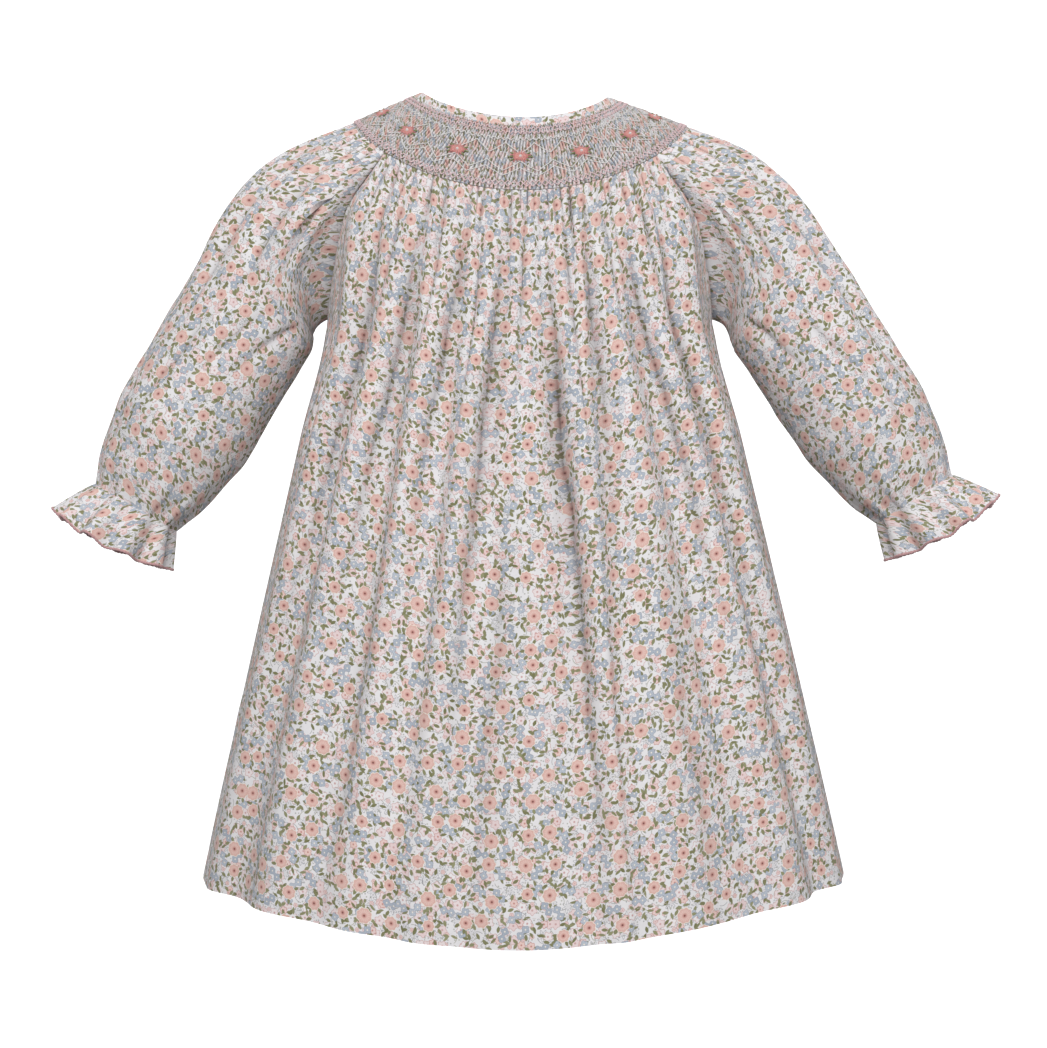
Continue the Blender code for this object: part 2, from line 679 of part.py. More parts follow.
def build_panels():
    """The front, the two back halves and the two sleeves."""
    front, front_normals, back, back_normals = body_grids()
    folds = {1: LEFT_SLEEVE_FOLDS, -1: RIGHT_SLEEVE_FOLDS}
    sleeves = {
        side: sleeve_surface(
            side, folds[side], RAGLAN_COLUMNS, SLEEVE_TOP_COLUMNS, SLEEVE_CAP_ROWS, SLEEVE_ARM_ROWS
        )
        for side in (1, -1)
    }
    sleeve_normals = {side: grid_normals(grid, True, side) for side, grid in sleeves.items()}
    shared_seams(front_normals, back_normals, sleeve_normals)
    gap = panel_gap(front, front_normals, ((0, 1), (-1, -1)))
    wall_object("front", *wall_points(front, front_normals, gap), False, PRINT_COTTON)
    middle = back.shape[1] // 2
    for name, part in (("back_right", slice(0, middle + 1)), ("back_left", slice(middle, None))):
        grid, normals = back[:, part], back_normals[:, part]
        gap = panel_gap(grid, normals, ((0, 1), (-1, -1)))
        wall_object(name, *wall_points(grid, normals, gap), False, PRINT_COTTON)
    back_outer = wall_points(back, back_normals)[0]
    for side, name in ((1, "sleeve_left"), (-1, "sleeve_right")):
        grid, normals = sleeves[side], sleeve_normals[side]
        gap = np.zeros_like(grid)
        loop = np.concatenate([grid[0, -1:], grid[0], grid[0, :1]])
        loop_normals = np.concatenate([normals[0, -1:], normals[0], normals[0, :1]])
        inward = grid[1] - grid[0]
        inward = np.concatenate([inward[-1:], inward, inward[:1]])
        gap[0] = seam_side(loop, loop_normals, inward)[1:-1] * EDGE_CLEAR
        gap[-1] = -arm_frame(side)[1] * SEAM_GAP / 2
        wall_object(name, *wall_points(grid, normals, gap), True, PRINT_COTTON)
    return back_outer


def frill_surface(side, columns, rows):
    """Middle surface of a wrist frill: rings that flare and wave more towards the free edge."""
    share = np.linspace(0, 1, rows + 1)[:, None]
    turn = np.linspace(0, 2 * math.pi, columns, endpoint=False)[None, :]
    wave = np.cos(FRILL_WAVES * turn + FRILL_DRIFT * np.sin(FRILL_DRIFT_WAVES * turn) * share)
    depth = WRIST_GATHER + (FRILL_WAVE_DEPTH - WRIST_GATHER) * share
    under = (1 + np.cos(turn)) / 2
    extra = FRILL_FLARE * (1 - FRILL_CLOSE_UNDER * under) * share**FRILL_FLARE_POWER + depth * wave
    reach = np.full_like(extra, WRIST_AT)
    length = FRILL_LENGTH * (1 - FRILL_SHORT_UNDER * under + FRILL_LONG_FRONT * np.sin(turn) ** 2)
    length = length - FRILL_SWING * wave * share
    travel = SEAM_GAP / 2 + (length - SEAM_GAP / 2) * share
    bend = (FRILL_BEND_LEFT if side > 0 else FRILL_BEND_RIGHT) * share
    _, along, out, _ = arm_frame(side)
    return arm_ring(side, turn, reach, extra) + along * travel[..., None] + out * bend[..., None]


def build_frills():
    """The frill below the elastic at each wrist."""
    for side, name in ((1, "frill_left"), (-1, "frill_right")):
        grid = frill_surface(side, FRILL_COLUMNS, FRILL_ROWS)
        normals = grid_normals(grid, True, side)
        along = arm_frame(side)[1]
        normals[0] = unit(normals[0] - along * np.sum(normals[0] * along, -1, keepdims=True))
        wall_object(name, *wall_points(grid, normals), True, PRINT_COTTON)


def across_row(row, places):
    """Points of a row of cloth at given places across the middle of the back."""
    order = np.argsort(row[:, 0])
    row = row[order]
    return np.stack([places] + [np.interp(places, row[:, 0], row[:, i]) for i in (1, 2)], -1)


def build_placket(yoke, back):
    """The strip that covers the back opening, made from the cloth's outer points, with three buttons."""
    places = np.linspace(-1, 1, PLACKET_COLUMNS + 1) * PLACKET_WIDTH / 2
    yoke_rows = [across_row(row[row[:, 1] > 0], places) for row in yoke]
    back_rows = [across_row(row, places) for row in back[: PLACKET_BACK_ROWS + 1]]
    first = yoke_rows[0] + (yoke_rows[1] - yoke_rows[0]) * PLACKET_START
    seam = (yoke_rows[-1] + back_rows[0]) / 2
    grid = np.array([first, *yoke_rows[1:-1], seam, *back_rows[1:]])
    out = grid_normals(grid, False, -1)
    out *= np.sign(out[..., 1:2])
    under = grid + out * PLACKET_CLEAR
    over = under + out * PLACKET_THICKNESS
    wall_object("placket", over, under, False, PRINT_COTTON)
    middle = PLACKET_COLUMNS // 2
    for number, share in enumerate(BUTTON_AT, 1):
        at = share * (len(grid) - 1)
        low = int(at)
        point = over[low, middle] + (over[low + 1, middle] - over[low, middle]) * (at - low)
        _, back, rise = unit(over[low + 1, middle] - over[low, middle])
        direction = np.array([0, -rise, back])
        build_button(f"button_{number}", point + direction * PLACKET_CLEAR, direction)


def build_button(name, base, direction):
    """A dished round button: a turned profile with a raised rim."""
    heights = BUTTON_PROFILE["height"] * BUTTON_THICKNESS
    heights[-1] -= BUTTON_DISH
    shape = bmesh.new()
    rings = []
    for across, height in zip(BUTTON_PROFILE["across"] * BUTTON_RADIUS, heights):
        angles = (2 * math.pi * i / BUTTON_SIDES for i in range(BUTTON_SIDES))
        rings.append([shape.verts.new((across * math.cos(a), across * math.sin(a), height)) for a in angles])
    for low, high in zip(rings, rings[1:]):
        for i in range(BUTTON_SIDES):
            k = (i + 1) % BUTTON_SIDES
            shape.faces.new((low[i], low[k], high[k], high[i]))
    shape.faces.new(rings[0][::-1])
    shape.faces.new(rings[-1])
    mesh = bpy.data.meshes.new(name)
    shape.to_mesh(mesh)
    shape.free()
    mesh.shade_smooth()
    mesh.set_sharp_from_angle(angle=BUTTON_SMOOTH_BELOW)
    mesh.materials.append(cloth_material(name, *PALE_PEARL))
    made = bpy.data.objects.new(name, mesh)
    made.location = Vector(base)
    made.rotation_mode = "QUATERNION"
    made.rotation_quaternion = Vector(direction).to_track_quat("Z", "Y")
    bpy.context.scene.collection.objects.link(made)


def main():
    for old in list(bpy.data.objects):
        bpy.data.objects.remove(old)
    yoke = build_yoke()
    build_binding()
    back = build_panels()
    build_frills()
    build_placket(yoke, back)


main()
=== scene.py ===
"""Dresses the smocked baby dress: printed cotton shells with their folds, the smocking and its stitches.

The cloth pieces follow the same formulas as the solids, on finer grids, with the gathers, creases and
seams added. The wearer faces -Y, +X is the wearer's left, and every length is in metres.
"""

import logging
import math
from dataclasses import dataclass, field
from enum import Enum

import bpy
import numpy as np
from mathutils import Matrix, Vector


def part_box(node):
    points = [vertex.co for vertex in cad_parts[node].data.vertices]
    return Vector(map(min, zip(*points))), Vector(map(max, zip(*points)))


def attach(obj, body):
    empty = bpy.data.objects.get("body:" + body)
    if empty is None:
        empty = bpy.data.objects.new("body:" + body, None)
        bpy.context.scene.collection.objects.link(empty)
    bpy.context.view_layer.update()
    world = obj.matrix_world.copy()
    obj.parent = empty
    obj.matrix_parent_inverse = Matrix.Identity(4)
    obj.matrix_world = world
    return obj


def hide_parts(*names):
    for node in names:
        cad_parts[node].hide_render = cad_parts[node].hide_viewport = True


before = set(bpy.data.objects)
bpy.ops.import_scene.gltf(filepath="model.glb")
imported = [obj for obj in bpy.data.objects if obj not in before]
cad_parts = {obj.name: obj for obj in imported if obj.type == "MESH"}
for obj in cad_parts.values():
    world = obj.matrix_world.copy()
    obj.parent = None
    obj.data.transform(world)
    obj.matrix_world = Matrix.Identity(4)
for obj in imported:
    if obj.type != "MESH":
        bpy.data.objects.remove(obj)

LOG = logging.getLogger("smocked_dress")
Array = np.ndarray
Columns = dict[str, Array]


class Face(Enum):
    """The two faces of the body."""

    FRONT = 1
    BACK = -1


class Side(Enum):
    """The wearer's two sides, by the sign of X."""

    LEFT = 1
    RIGHT = -1


def table(names: str, *rows: tuple[float, ...]) -> Columns:
    """Named columns of a small table, as arrays.

    Args:
        names: The columns' names, with spaces between them.
        rows: The table's rows.

    Returns:
        One array for each name.
    """
    return dict(zip(names.split(), np.array(rows, float).T))


def through(at: Array, places: Array, values: Array) -> Array:
    """Smooth curve through a table's values that never overshoots them.

    A cubic between each two places, whose slope at a place is the harmonic mean of its neighbours'.

    Args:
        at: Where the curve is read.
        places: The table's places, growing.
        values: The table's values.

    Returns:
        The curve's values.
    """
    step = np.diff(places)
    slope = np.diff(values) / step
    tangent = np.concatenate([slope[:1], np.zeros(len(slope) - 1), slope[-1:]])
    same = slope[1:] * slope[:-1] > 0
    mean = 2 * slope[1:] * slope[:-1] / np.where(same, slope[1:] + slope[:-1], 1)
    tangent[1:-1] = np.where(same, mean, 0)
    at = np.clip(at, places[0], places[-1])
    i = np.clip(np.searchsorted(places, at, side="right") - 1, 0, len(step) - 1)
    t = (at - places[i]) / step[i]
    rise = values[i + 1] - values[i]
    bends = step[i] * t * (1 - t) * (tangent[i] * (1 - t) - tangent[i + 1] * t)
    return values[i] + rise * t * t * (3 - 2 * t) + bends


def unit(vectors: Array) -> Array:
    """Vectors of length one."""
    return vectors / np.maximum(np.linalg.norm(vectors, axis=-1, keepdims=True), 1e-12)


def smooth_step(t: Array) -> Array:
    """0 before 0, 1 after 1, smooth between."""
    t = np.clip(t, 0, 1)
    return t * t * (3 - 2 * t)


def drift(x: Array, seed: float) -> Array:
    """A smooth irregular line between about -1 and 1: four sines whose periods don't fit each other."""
    return (
        np.sin(x * 1.0 + seed)
        + 0.8 * np.sin(x * 2.17 + seed * 2.3)
        + 0.6 * np.sin(x * 3.71 + seed * 3.1)
        + 0.4 * np.sin(x * 6.13 + seed * 1.7)
    ) / 2


def surface_normals(grid: Array, closed: bool, sense: int = 1) -> Array:
    """Unit normals of a grid: the cross product of the steps down and across.

    Args:
        grid: Rows and columns of points.
        closed: Whether the last column meets the first.
        sense: 1 or -1, so that the normals point outwards.

    Returns:
        One normal for each point.
    """
    if closed:
        across = np.roll(grid, -1, 1) - np.roll(grid, 1, 1)
    else:
        across = np.gradient(grid, axis=1)
    return unit(np.cross(np.gradient(grid, axis=0), across)) * sense


def run_along(grid: Array, axis: int) -> Array:
    """Length of cloth from the grid's first row or column to each point, along the surface."""
    step = np.linalg.norm(np.diff(grid, axis=axis), axis=-1)
    start = np.zeros_like(np.take(step, [0], axis))
    return np.concatenate([start, np.cumsum(step, axis=axis)], axis)


def cloth_map(grid: Array, closed: bool, anchor: float, squeeze: Array | float = 1.0) -> Array:
    """The cloth's own flat coordinates, in metres: length across each row, and up the columns from the end.

    Args:
        grid: Rows and columns of points.
        closed: Whether the last column meets the first.
        anchor: The share of the columns that keeps one value across, such as the middle.
        squeeze: How much more cloth than surface lies across, for gathered cloth.

    Returns:
        Two values for each point, with one more column than the grid where it is closed.
    """
    if closed:
        grid = np.concatenate([grid, grid[:, :1]], 1)
    across = run_along(grid, 1)
    middle = int(round(anchor * (grid.shape[1] - 1)))
    across = (across - across[:, middle : middle + 1]) * squeeze
    down = run_along(grid, 0)
    return np.stack([across, down - down[-1:]], -1)


def quads_of(ids: Array) -> Array:
    """The four numbers of each square of a grid of numbers, going down first."""
    corners = [ids[..., :-1, :-1], ids[..., 1:, :-1], ids[..., 1:, 1:], ids[..., :-1, 1:]]
    return np.stack(corners, -1).reshape(-1, 4)


def make_piece(
    name: str,
    points: Array,
    faces: Array,
    map_points: Array,
    map_faces: Array,
    finishes: list[bpy.types.Material],
    finish_of: Array | None = None,
    valley: Array | None = None,
) -> bpy.types.Object:
    """A smooth mesh object at the origin, with its cloth map.

    Args:
        name: The piece's name.
        points: The mesh's points.
        faces: Four point numbers for each face.
        map_points: The cloth map's points.
        map_faces: Four map point numbers for each face.
        finishes: The piece's materials.
        finish_of: Which material each face has, or None for the first.
        valley: How much painted shade each point gets for lying deep in a small fold, from 0 to 1.

    Returns:
        The object, in the scene.
    """
    mesh = bpy.data.meshes.new(name)
    mesh.from_pydata(points.tolist(), [], faces.tolist())
    layer = mesh.uv_layers.new(name="cloth")
    layer.data.foreach_set("uv", map_points.reshape(-1, 2)[map_faces.ravel()].ravel())
    for finish in finishes:
        mesh.materials.append(finish)
    if finish_of is not None:
        mesh.polygons.foreach_set("material_index", finish_of.astype(np.int32))
    # The valley attribute is painted shade: the cotton's material darkens the cloth by it in folds.
    if valley is not None:
        layer = mesh.attributes.new("valley", "FLOAT", "POINT")
        layer.data.foreach_set("value", valley.ravel().astype(np.float32))
    mesh.shade_smooth()
    mesh.set_sharp_from_angle(angle=math.radians(75))
    made = bpy.data.objects.new(name, mesh)
    bpy.context.scene.collection.objects.link(made)
    return made


def make_shell(
    name: str,
    grid: Array,
    normals: Array,
    thickness: float,
    cloth: Array,
    closed: bool,
    finishes: list[bpy.types.Material],
    valley: Array | None = None,
) -> bpy.types.Object:
    """A closed wall of cloth: the grid moved half the thickness out and in, joined round its edges.

    Args:
        name: The piece's name.
        grid: Rows and columns of the middle surface.
        normals: Outward normals at its points.
        thickness: The cloth's thickness.
        cloth: The cloth map of the grid.
        closed: Whether the last column meets the first.
        finishes: The outer material, and the inner one if it has another.
        valley: How much painted shade each point gets for lying deep in a small fold, from 0 to 1.

    Returns:
        The object.
    """
    rows, columns = grid.shape[:2]
    points = np.concatenate([grid + normals * thickness / 2, grid - normals * thickness / 2])
    outer = np.arange(rows * columns).reshape(rows, columns)
    if closed:
        outer = np.concatenate([outer, outer[:, :1]], 1)
    inner = outer + rows * columns
    placed = np.arange(cloth.shape[0] * cloth.shape[1]).reshape(cloth.shape[:2])
    face_sets, map_sets = [], []
    for store, near, far in ((face_sets, outer, inner), (map_sets, placed, placed)):
        store.append(quads_of(near))
        store.append(quads_of(far)[:, ::-1])
        store.append(np.stack([near[0, :-1], near[0, 1:], far[0, 1:], far[0, :-1]], -1))
        store.append(np.stack([near[-1, 1:], near[-1, :-1], far[-1, :-1], far[-1, 1:]], -1))
        if not closed:
            store.append(np.stack([near[1:, 0], near[:-1, 0], far[:-1, 0], far[1:, 0]], -1))
            store.append(np.stack([near[:-1, -1], near[1:, -1], far[1:, -1], far[:-1, -1]], -1))
    faces, map_faces = np.concatenate(face_sets), np.concatenate(map_sets)
    finish_of = np.zeros(len(faces), int)
    if len(finishes) > 1:
        finish_of[len(face_sets[0]) : 2 * len(face_sets[0])] = 1
    flat = points.reshape(-1, 3)
    outward = np.cross(grid[1:, :-1] - grid[:-1, :-1], grid[:-1, 1:] - grid[:-1, :-1])
    if np.sum(outward * normals[:-1, :-1]) < 0:
        faces, map_faces = faces[:, ::-1], map_faces[:, ::-1]
    if valley is not None:
        # Painted shade: the inner face gets less of it than the outer one.
        valley = np.stack([valley, 0.4 * valley])
    return make_piece(name, flat, faces, cloth, map_faces, finishes, finish_of, valley)


def make_threads(
    name: str,
    paths: Array,
    out: Array,
    radius: Array | float,
    finish: bpy.types.Material,
    looped: bool = False,
    flatness: float = 0.8,
) -> bpy.types.Object:
    """Lengths of thread laid on cloth: six-sided tubes along paths, a little flattened.

    Each point of a tube is its path's point, plus the radius times the cosine along the side direction and
    the sine times the flatness along the cloth's normal.

    Args:
        name: The piece's name.
        paths: One row of points for each thread.
        out: The cloth's outward normals along the paths.
        radius: The thread's radius, one or for each point.
        finish: The thread's material.
        looped: Whether each path's last point meets its first.
        flatness: The thread's height as a share of its width.

    Returns:
        The object that holds all the threads.
    """
    sides = 6
    blocks, steps = paths.shape[:2]
    if looped:
        tangent = unit(np.roll(paths, -1, 1) - np.roll(paths, 1, 1))
    else:
        tangent = unit(np.gradient(paths, axis=1))
    aside = unit(np.cross(tangent, out))
    up = unit(np.cross(aside, tangent))
    turn = np.linspace(0, 2 * math.pi, sides, endpoint=False)
    radius = np.broadcast_to(radius, (blocks, steps))[..., None, None]
    rings = aside[:, :, None] * np.cos(turn)[:, None] + up[:, :, None] * np.sin(turn)[:, None] * flatness
    points = paths[:, :, None] + rings * radius
    ids = np.arange(blocks * steps * sides).reshape(blocks, steps, sides)
    ids = np.concatenate([ids, ids[:, :, :1]], 2)
    closed_path = paths if not looped else np.concatenate([paths, paths[:, :1]], 1)
    along = run_along(closed_path, 1)
    if looped:
        ids = np.concatenate([ids, ids[:, :1]], 1)
    around = np.linspace(0, 1, sides + 1)
    cloth = np.stack(np.broadcast_arrays(along[:, :, None], around), -1)
    placed = np.arange(cloth.shape[0] * cloth.shape[1] * cloth.shape[2]).reshape(cloth.shape[:3])
    faces, map_faces = [quads_of(ids)], [quads_of(placed)]
    if not looped:
        for store, numbers in ((faces, ids), (map_faces, placed)):
            first, last = numbers[:, 0], numbers[:, -1]
            store.append(first[:, [0, 1, 2, 3]])
            store.append(first[:, [0, 3, 4, 5]])
            store.append(last[:, [3, 2, 1, 0]])
            store.append(last[:, [5, 4, 3, 0]])
    faces, map_faces = np.concatenate(faces)[:, ::-1], np.concatenate(map_faces)[:, ::-1]
    return make_piece(name, points.reshape(-1, 3), faces, cloth, map_faces, [finish])


# Forms


@dataclass(frozen=True)
class YokeForm:
    """The smocked yoke: a band between the neck ring and a lower ring, both dipping at front and back."""

    neck_half_width: float = 0.0492
    neck_half_depth: float = 0.040
    neck_dip_front: float = 0.0165
    neck_dip_back: float = 0.008
    neck_shift: float = -0.003
    neck_tilt: float = 0.027
    tilt: float = 0.012
    half_width: float = 0.090
    depth_front: float = 0.064
    depth_back: float = 0.060
    shoulder_drop: float = 0.0162
    dip_front: float = 0.0413
    dip_back: float = 0.0328
    dip_power: float = 1.5

    def ring(self, phi: Array, width: float, depths: tuple, drop: float, dips: tuple) -> Array:
        """A ring round the neck: sine times the width, cosine times the depth, lower by the dip.

        Args:
            phi: Angles from the middle of the front, growing towards +X.
            width: Half width.
            depths: Depth before and behind.
            drop: Drop at the sides.
            dips: Dip before and behind, which grows as the cosine to a power.

        Returns:
            The points.
        """
        front = np.cos(phi) > 0
        depth = np.where(front, *depths)
        dip = np.where(front, *dips)
        z = -drop - dip * np.abs(np.cos(phi)) ** self.dip_power
        return np.stack([width * np.sin(phi), -depth * np.cos(phi), z], -1)

    def neck(self, phi: Array) -> Array:
        """The upper edge of the neck binding."""
        depths = (self.neck_half_depth, self.neck_half_depth)
        points = self.ring(phi, self.neck_half_width, depths, 0, (self.neck_dip_front, self.neck_dip_back))
        points[..., 2] -= self.neck_tilt * points[..., 0]
        points[..., 0] += self.neck_shift * np.abs(np.sin(phi))
        return points

    def lower(self, phi: Array) -> Array:
        """The yoke's lower edge."""
        depths = (self.depth_front, self.depth_back)
        points = self.ring(phi, self.half_width, depths, self.shoulder_drop, (self.dip_front, self.dip_back))
        points[..., 2] -= self.tilt * points[..., 0]
        return points

    def surface(self, phi: Array, down: Array) -> Array:
        """The band itself, straight from the neck ring to the lower ring."""
        phi, down = np.broadcast_arrays(phi, down)
        top = self.neck(phi)
        return top + (self.lower(phi) - top) * down[..., None]

    def slope(self, phi: Array) -> Array:
        """Unit directions down the band."""
        return unit(self.lower(phi) - self.neck(phi))

    def normals(self, phi: Array, down: Array) -> Array:
        """Outward normals of the band, from small steps down and round it."""
        step = 0.004
        around = self.surface(phi + step, down) - self.surface(phi - step, down)
        return unit(np.cross(self.slope(np.broadcast_arrays(phi, down)[0]), around))


@dataclass(frozen=True)
class BodyForm:
    """The front and back: a rounded body from the yoke and raglan seams down to the hem."""

    yoke: YokeForm = YokeForm()
    corner_front: float = math.radians(53)
    corner_back: float = math.radians(127)
    underarm_drop: float = 0.120
    raglan_curve: float = 1.5
    hem_drop_side: float = 0.4170
    hem_dip: float = 0.0275
    hem_dip_power: float = 1.6
    hem_tilt: float = 0.0012
    sway: float = 0.0057
    roundness: float = 2.4
    spread_power: float = 1.3
    settle_power: float = 6
    row_crowding: float = 1.25
    raglan_share: float = 10 / 64
    back_raglan_share: float = 10 / 56
    torso: Columns = field(
        default_factory=lambda: table(
            "drop half_width front_depth back_depth",
            (0.000, 0.060, 0.056, 0.052),
            (0.036, 0.083, 0.064, 0.060),
            (0.073, 0.1025, 0.072, 0.068),
            (0.120, 0.1035, 0.078, 0.074),
            (0.185, 0.1185, 0.088, 0.084),
            (0.369, 0.1608, 0.113, 0.108),
            (0.450, 0.1785, 0.121, 0.116),
        )
    )

    def corner(self, face: Face) -> float:
        """Where the raglan seams leave the yoke's lower ring."""
        return self.corner_front if face is Face.FRONT else self.corner_back

    def radius(self, theta: Array, drop: Array, face: Face) -> Array:
        """Distance from the middle line: a rounded box whose half sizes come from the torso's table.

        Args:
            theta: Angle off the middle of the face.
            drop: Drop below the neck.
            face: Front or back.

        Returns:
            The radius.
        """
        width = through(drop, self.torso["drop"], self.torso["half_width"])
        depths = self.torso["front_depth" if face is Face.FRONT else "back_depth"]
        depth = through(drop, self.torso["drop"], depths)
        power = self.roundness
        return (np.abs(np.sin(theta) / width) ** power + np.abs(np.cos(theta) / depth) ** power) ** (-1 / power)

    def place(self, theta: Array, radius: Array, drop: Array, face: Face) -> Array:
        """A point from its angle off the middle of the face, its radius and its drop."""
        return np.stack([radius * np.sin(theta), -face.value * radius * np.cos(theta), -drop], -1)

    def polar(self, points: Array, face: Face) -> tuple[Array, Array, Array]:
        """Angle off the middle of the face, radius and drop of points."""
        x, y = points[..., 0], points[..., 1]
        return np.arctan2(x, -face.value * y), np.hypot(x, y), -points[..., 2]

    def raglan(self, side: Side, face: Face, down: Array) -> Array:
        """The raglan seam on the body's surface, from 0 at the yoke to 1 at the underarm.

        The angle grows evenly to a quarter turn, and the drop quickly at first, so that the armhole is round.

        Args:
            side: The wearer's side.
            face: Front or back.
            down: Shares of the way down.

        Returns:
            The seam's points.
        """
        corner = self.yoke.lower(side.value * np.array(self.corner(face))) * [side.value, 1, 1]
        theta_0, radius_0, drop_0 = self.polar(corner, face)
        theta = theta_0 + (math.pi / 2 - theta_0) * down
        drop = drop_0 + (self.underarm_drop - drop_0) * (1 - (1 - down) ** self.raglan_curve)
        lift = radius_0 - self.radius(theta_0, drop_0, face)
        radius = self.radius(theta, drop, face) + lift * (1 - down) ** 2
        return self.place(side.value * theta, radius, drop, face)

    def hem(self, theta: Array) -> Array:
        """Drop of the hem, lower in the middle than at the sides."""
        dip = self.hem_dip * np.abs(np.cos(theta)) ** self.hem_dip_power
        return self.hem_drop_side + dip - self.hem_tilt * np.sin(theta)

    def hem_angles(self, across: Array, face: Face, folds: Columns) -> Array:
        """Where each place across the yoke meets the hem, so that columns run down along the lasting folds."""
        fine = np.linspace(-math.pi / 2, math.pi / 2, 721)
        drop = self.hem(fine)
        run = run_along(self.place(fine, self.radius(fine, drop, face), drop, face), 0)
        lasting = folds["depth_hem"] > 0
        order = np.argsort(folds["at_yoke"][lasting])
        at_yoke = np.concatenate([[-1], folds["at_yoke"][lasting][order], [1]])
        at_hem = np.concatenate([[-1], folds["at_hem"][lasting][order], [1]])
        share = (through(across, at_yoke, at_hem) + 1) / 2
        return np.interp(share * run[-1], run, fine)

    def panel(self, face: Face, folds: Columns, times: int, rows: int) -> tuple[Array, Array, Array]:
        """Middle surface of the front or back, from -X to +X.

        Args:
            face: Front or back.
            folds: The face's main folds.
            times: Columns for each column of the solid.
            rows: Rows from the yoke to the hem.

        Returns:
            The grid, each column's place across from -1 to 1, and each row's share of the way down.
        """
        seam = np.linspace(0, 1, 10 * times + 1)
        corner = self.corner(face)
        yoke_columns = (44 if face is Face.FRONT else 36) * times
        first = -corner if face is Face.FRONT else 2 * math.pi - corner
        arc = np.linspace(first, corner, yoke_columns + 1)
        right = self.raglan(Side.RIGHT, face, seam[:0:-1])
        left = self.raglan(Side.LEFT, face, seam[1:])
        top = np.concatenate([right, self.yoke.lower(arc), left])
        across = np.linspace(-1, 1, len(top))
        theta_0, radius_0, drop_0 = self.polar(top, face)
        theta_1 = self.hem_angles(across, face, folds)
        down = (np.linspace(0, 1, rows + 1) ** self.row_crowding)[:, None]
        theta = theta_0 + (theta_1 - theta_0) * (1 - (1 - down) ** self.spread_power)
        drop = drop_0 + (self.hem(theta_1) - drop_0) * down
        lift = (radius_0 - self.radius(theta_0, drop_0, face)) * (1 - down) ** self.settle_power
        radius = self.radius(theta, drop, face) + lift - panel_folds(across, down, folds)
        points = self.place(theta, radius, drop, face)
        points[..., 0] += self.sway * (drop - drop_0) * smooth_step(down * 2)
        return points, across, down


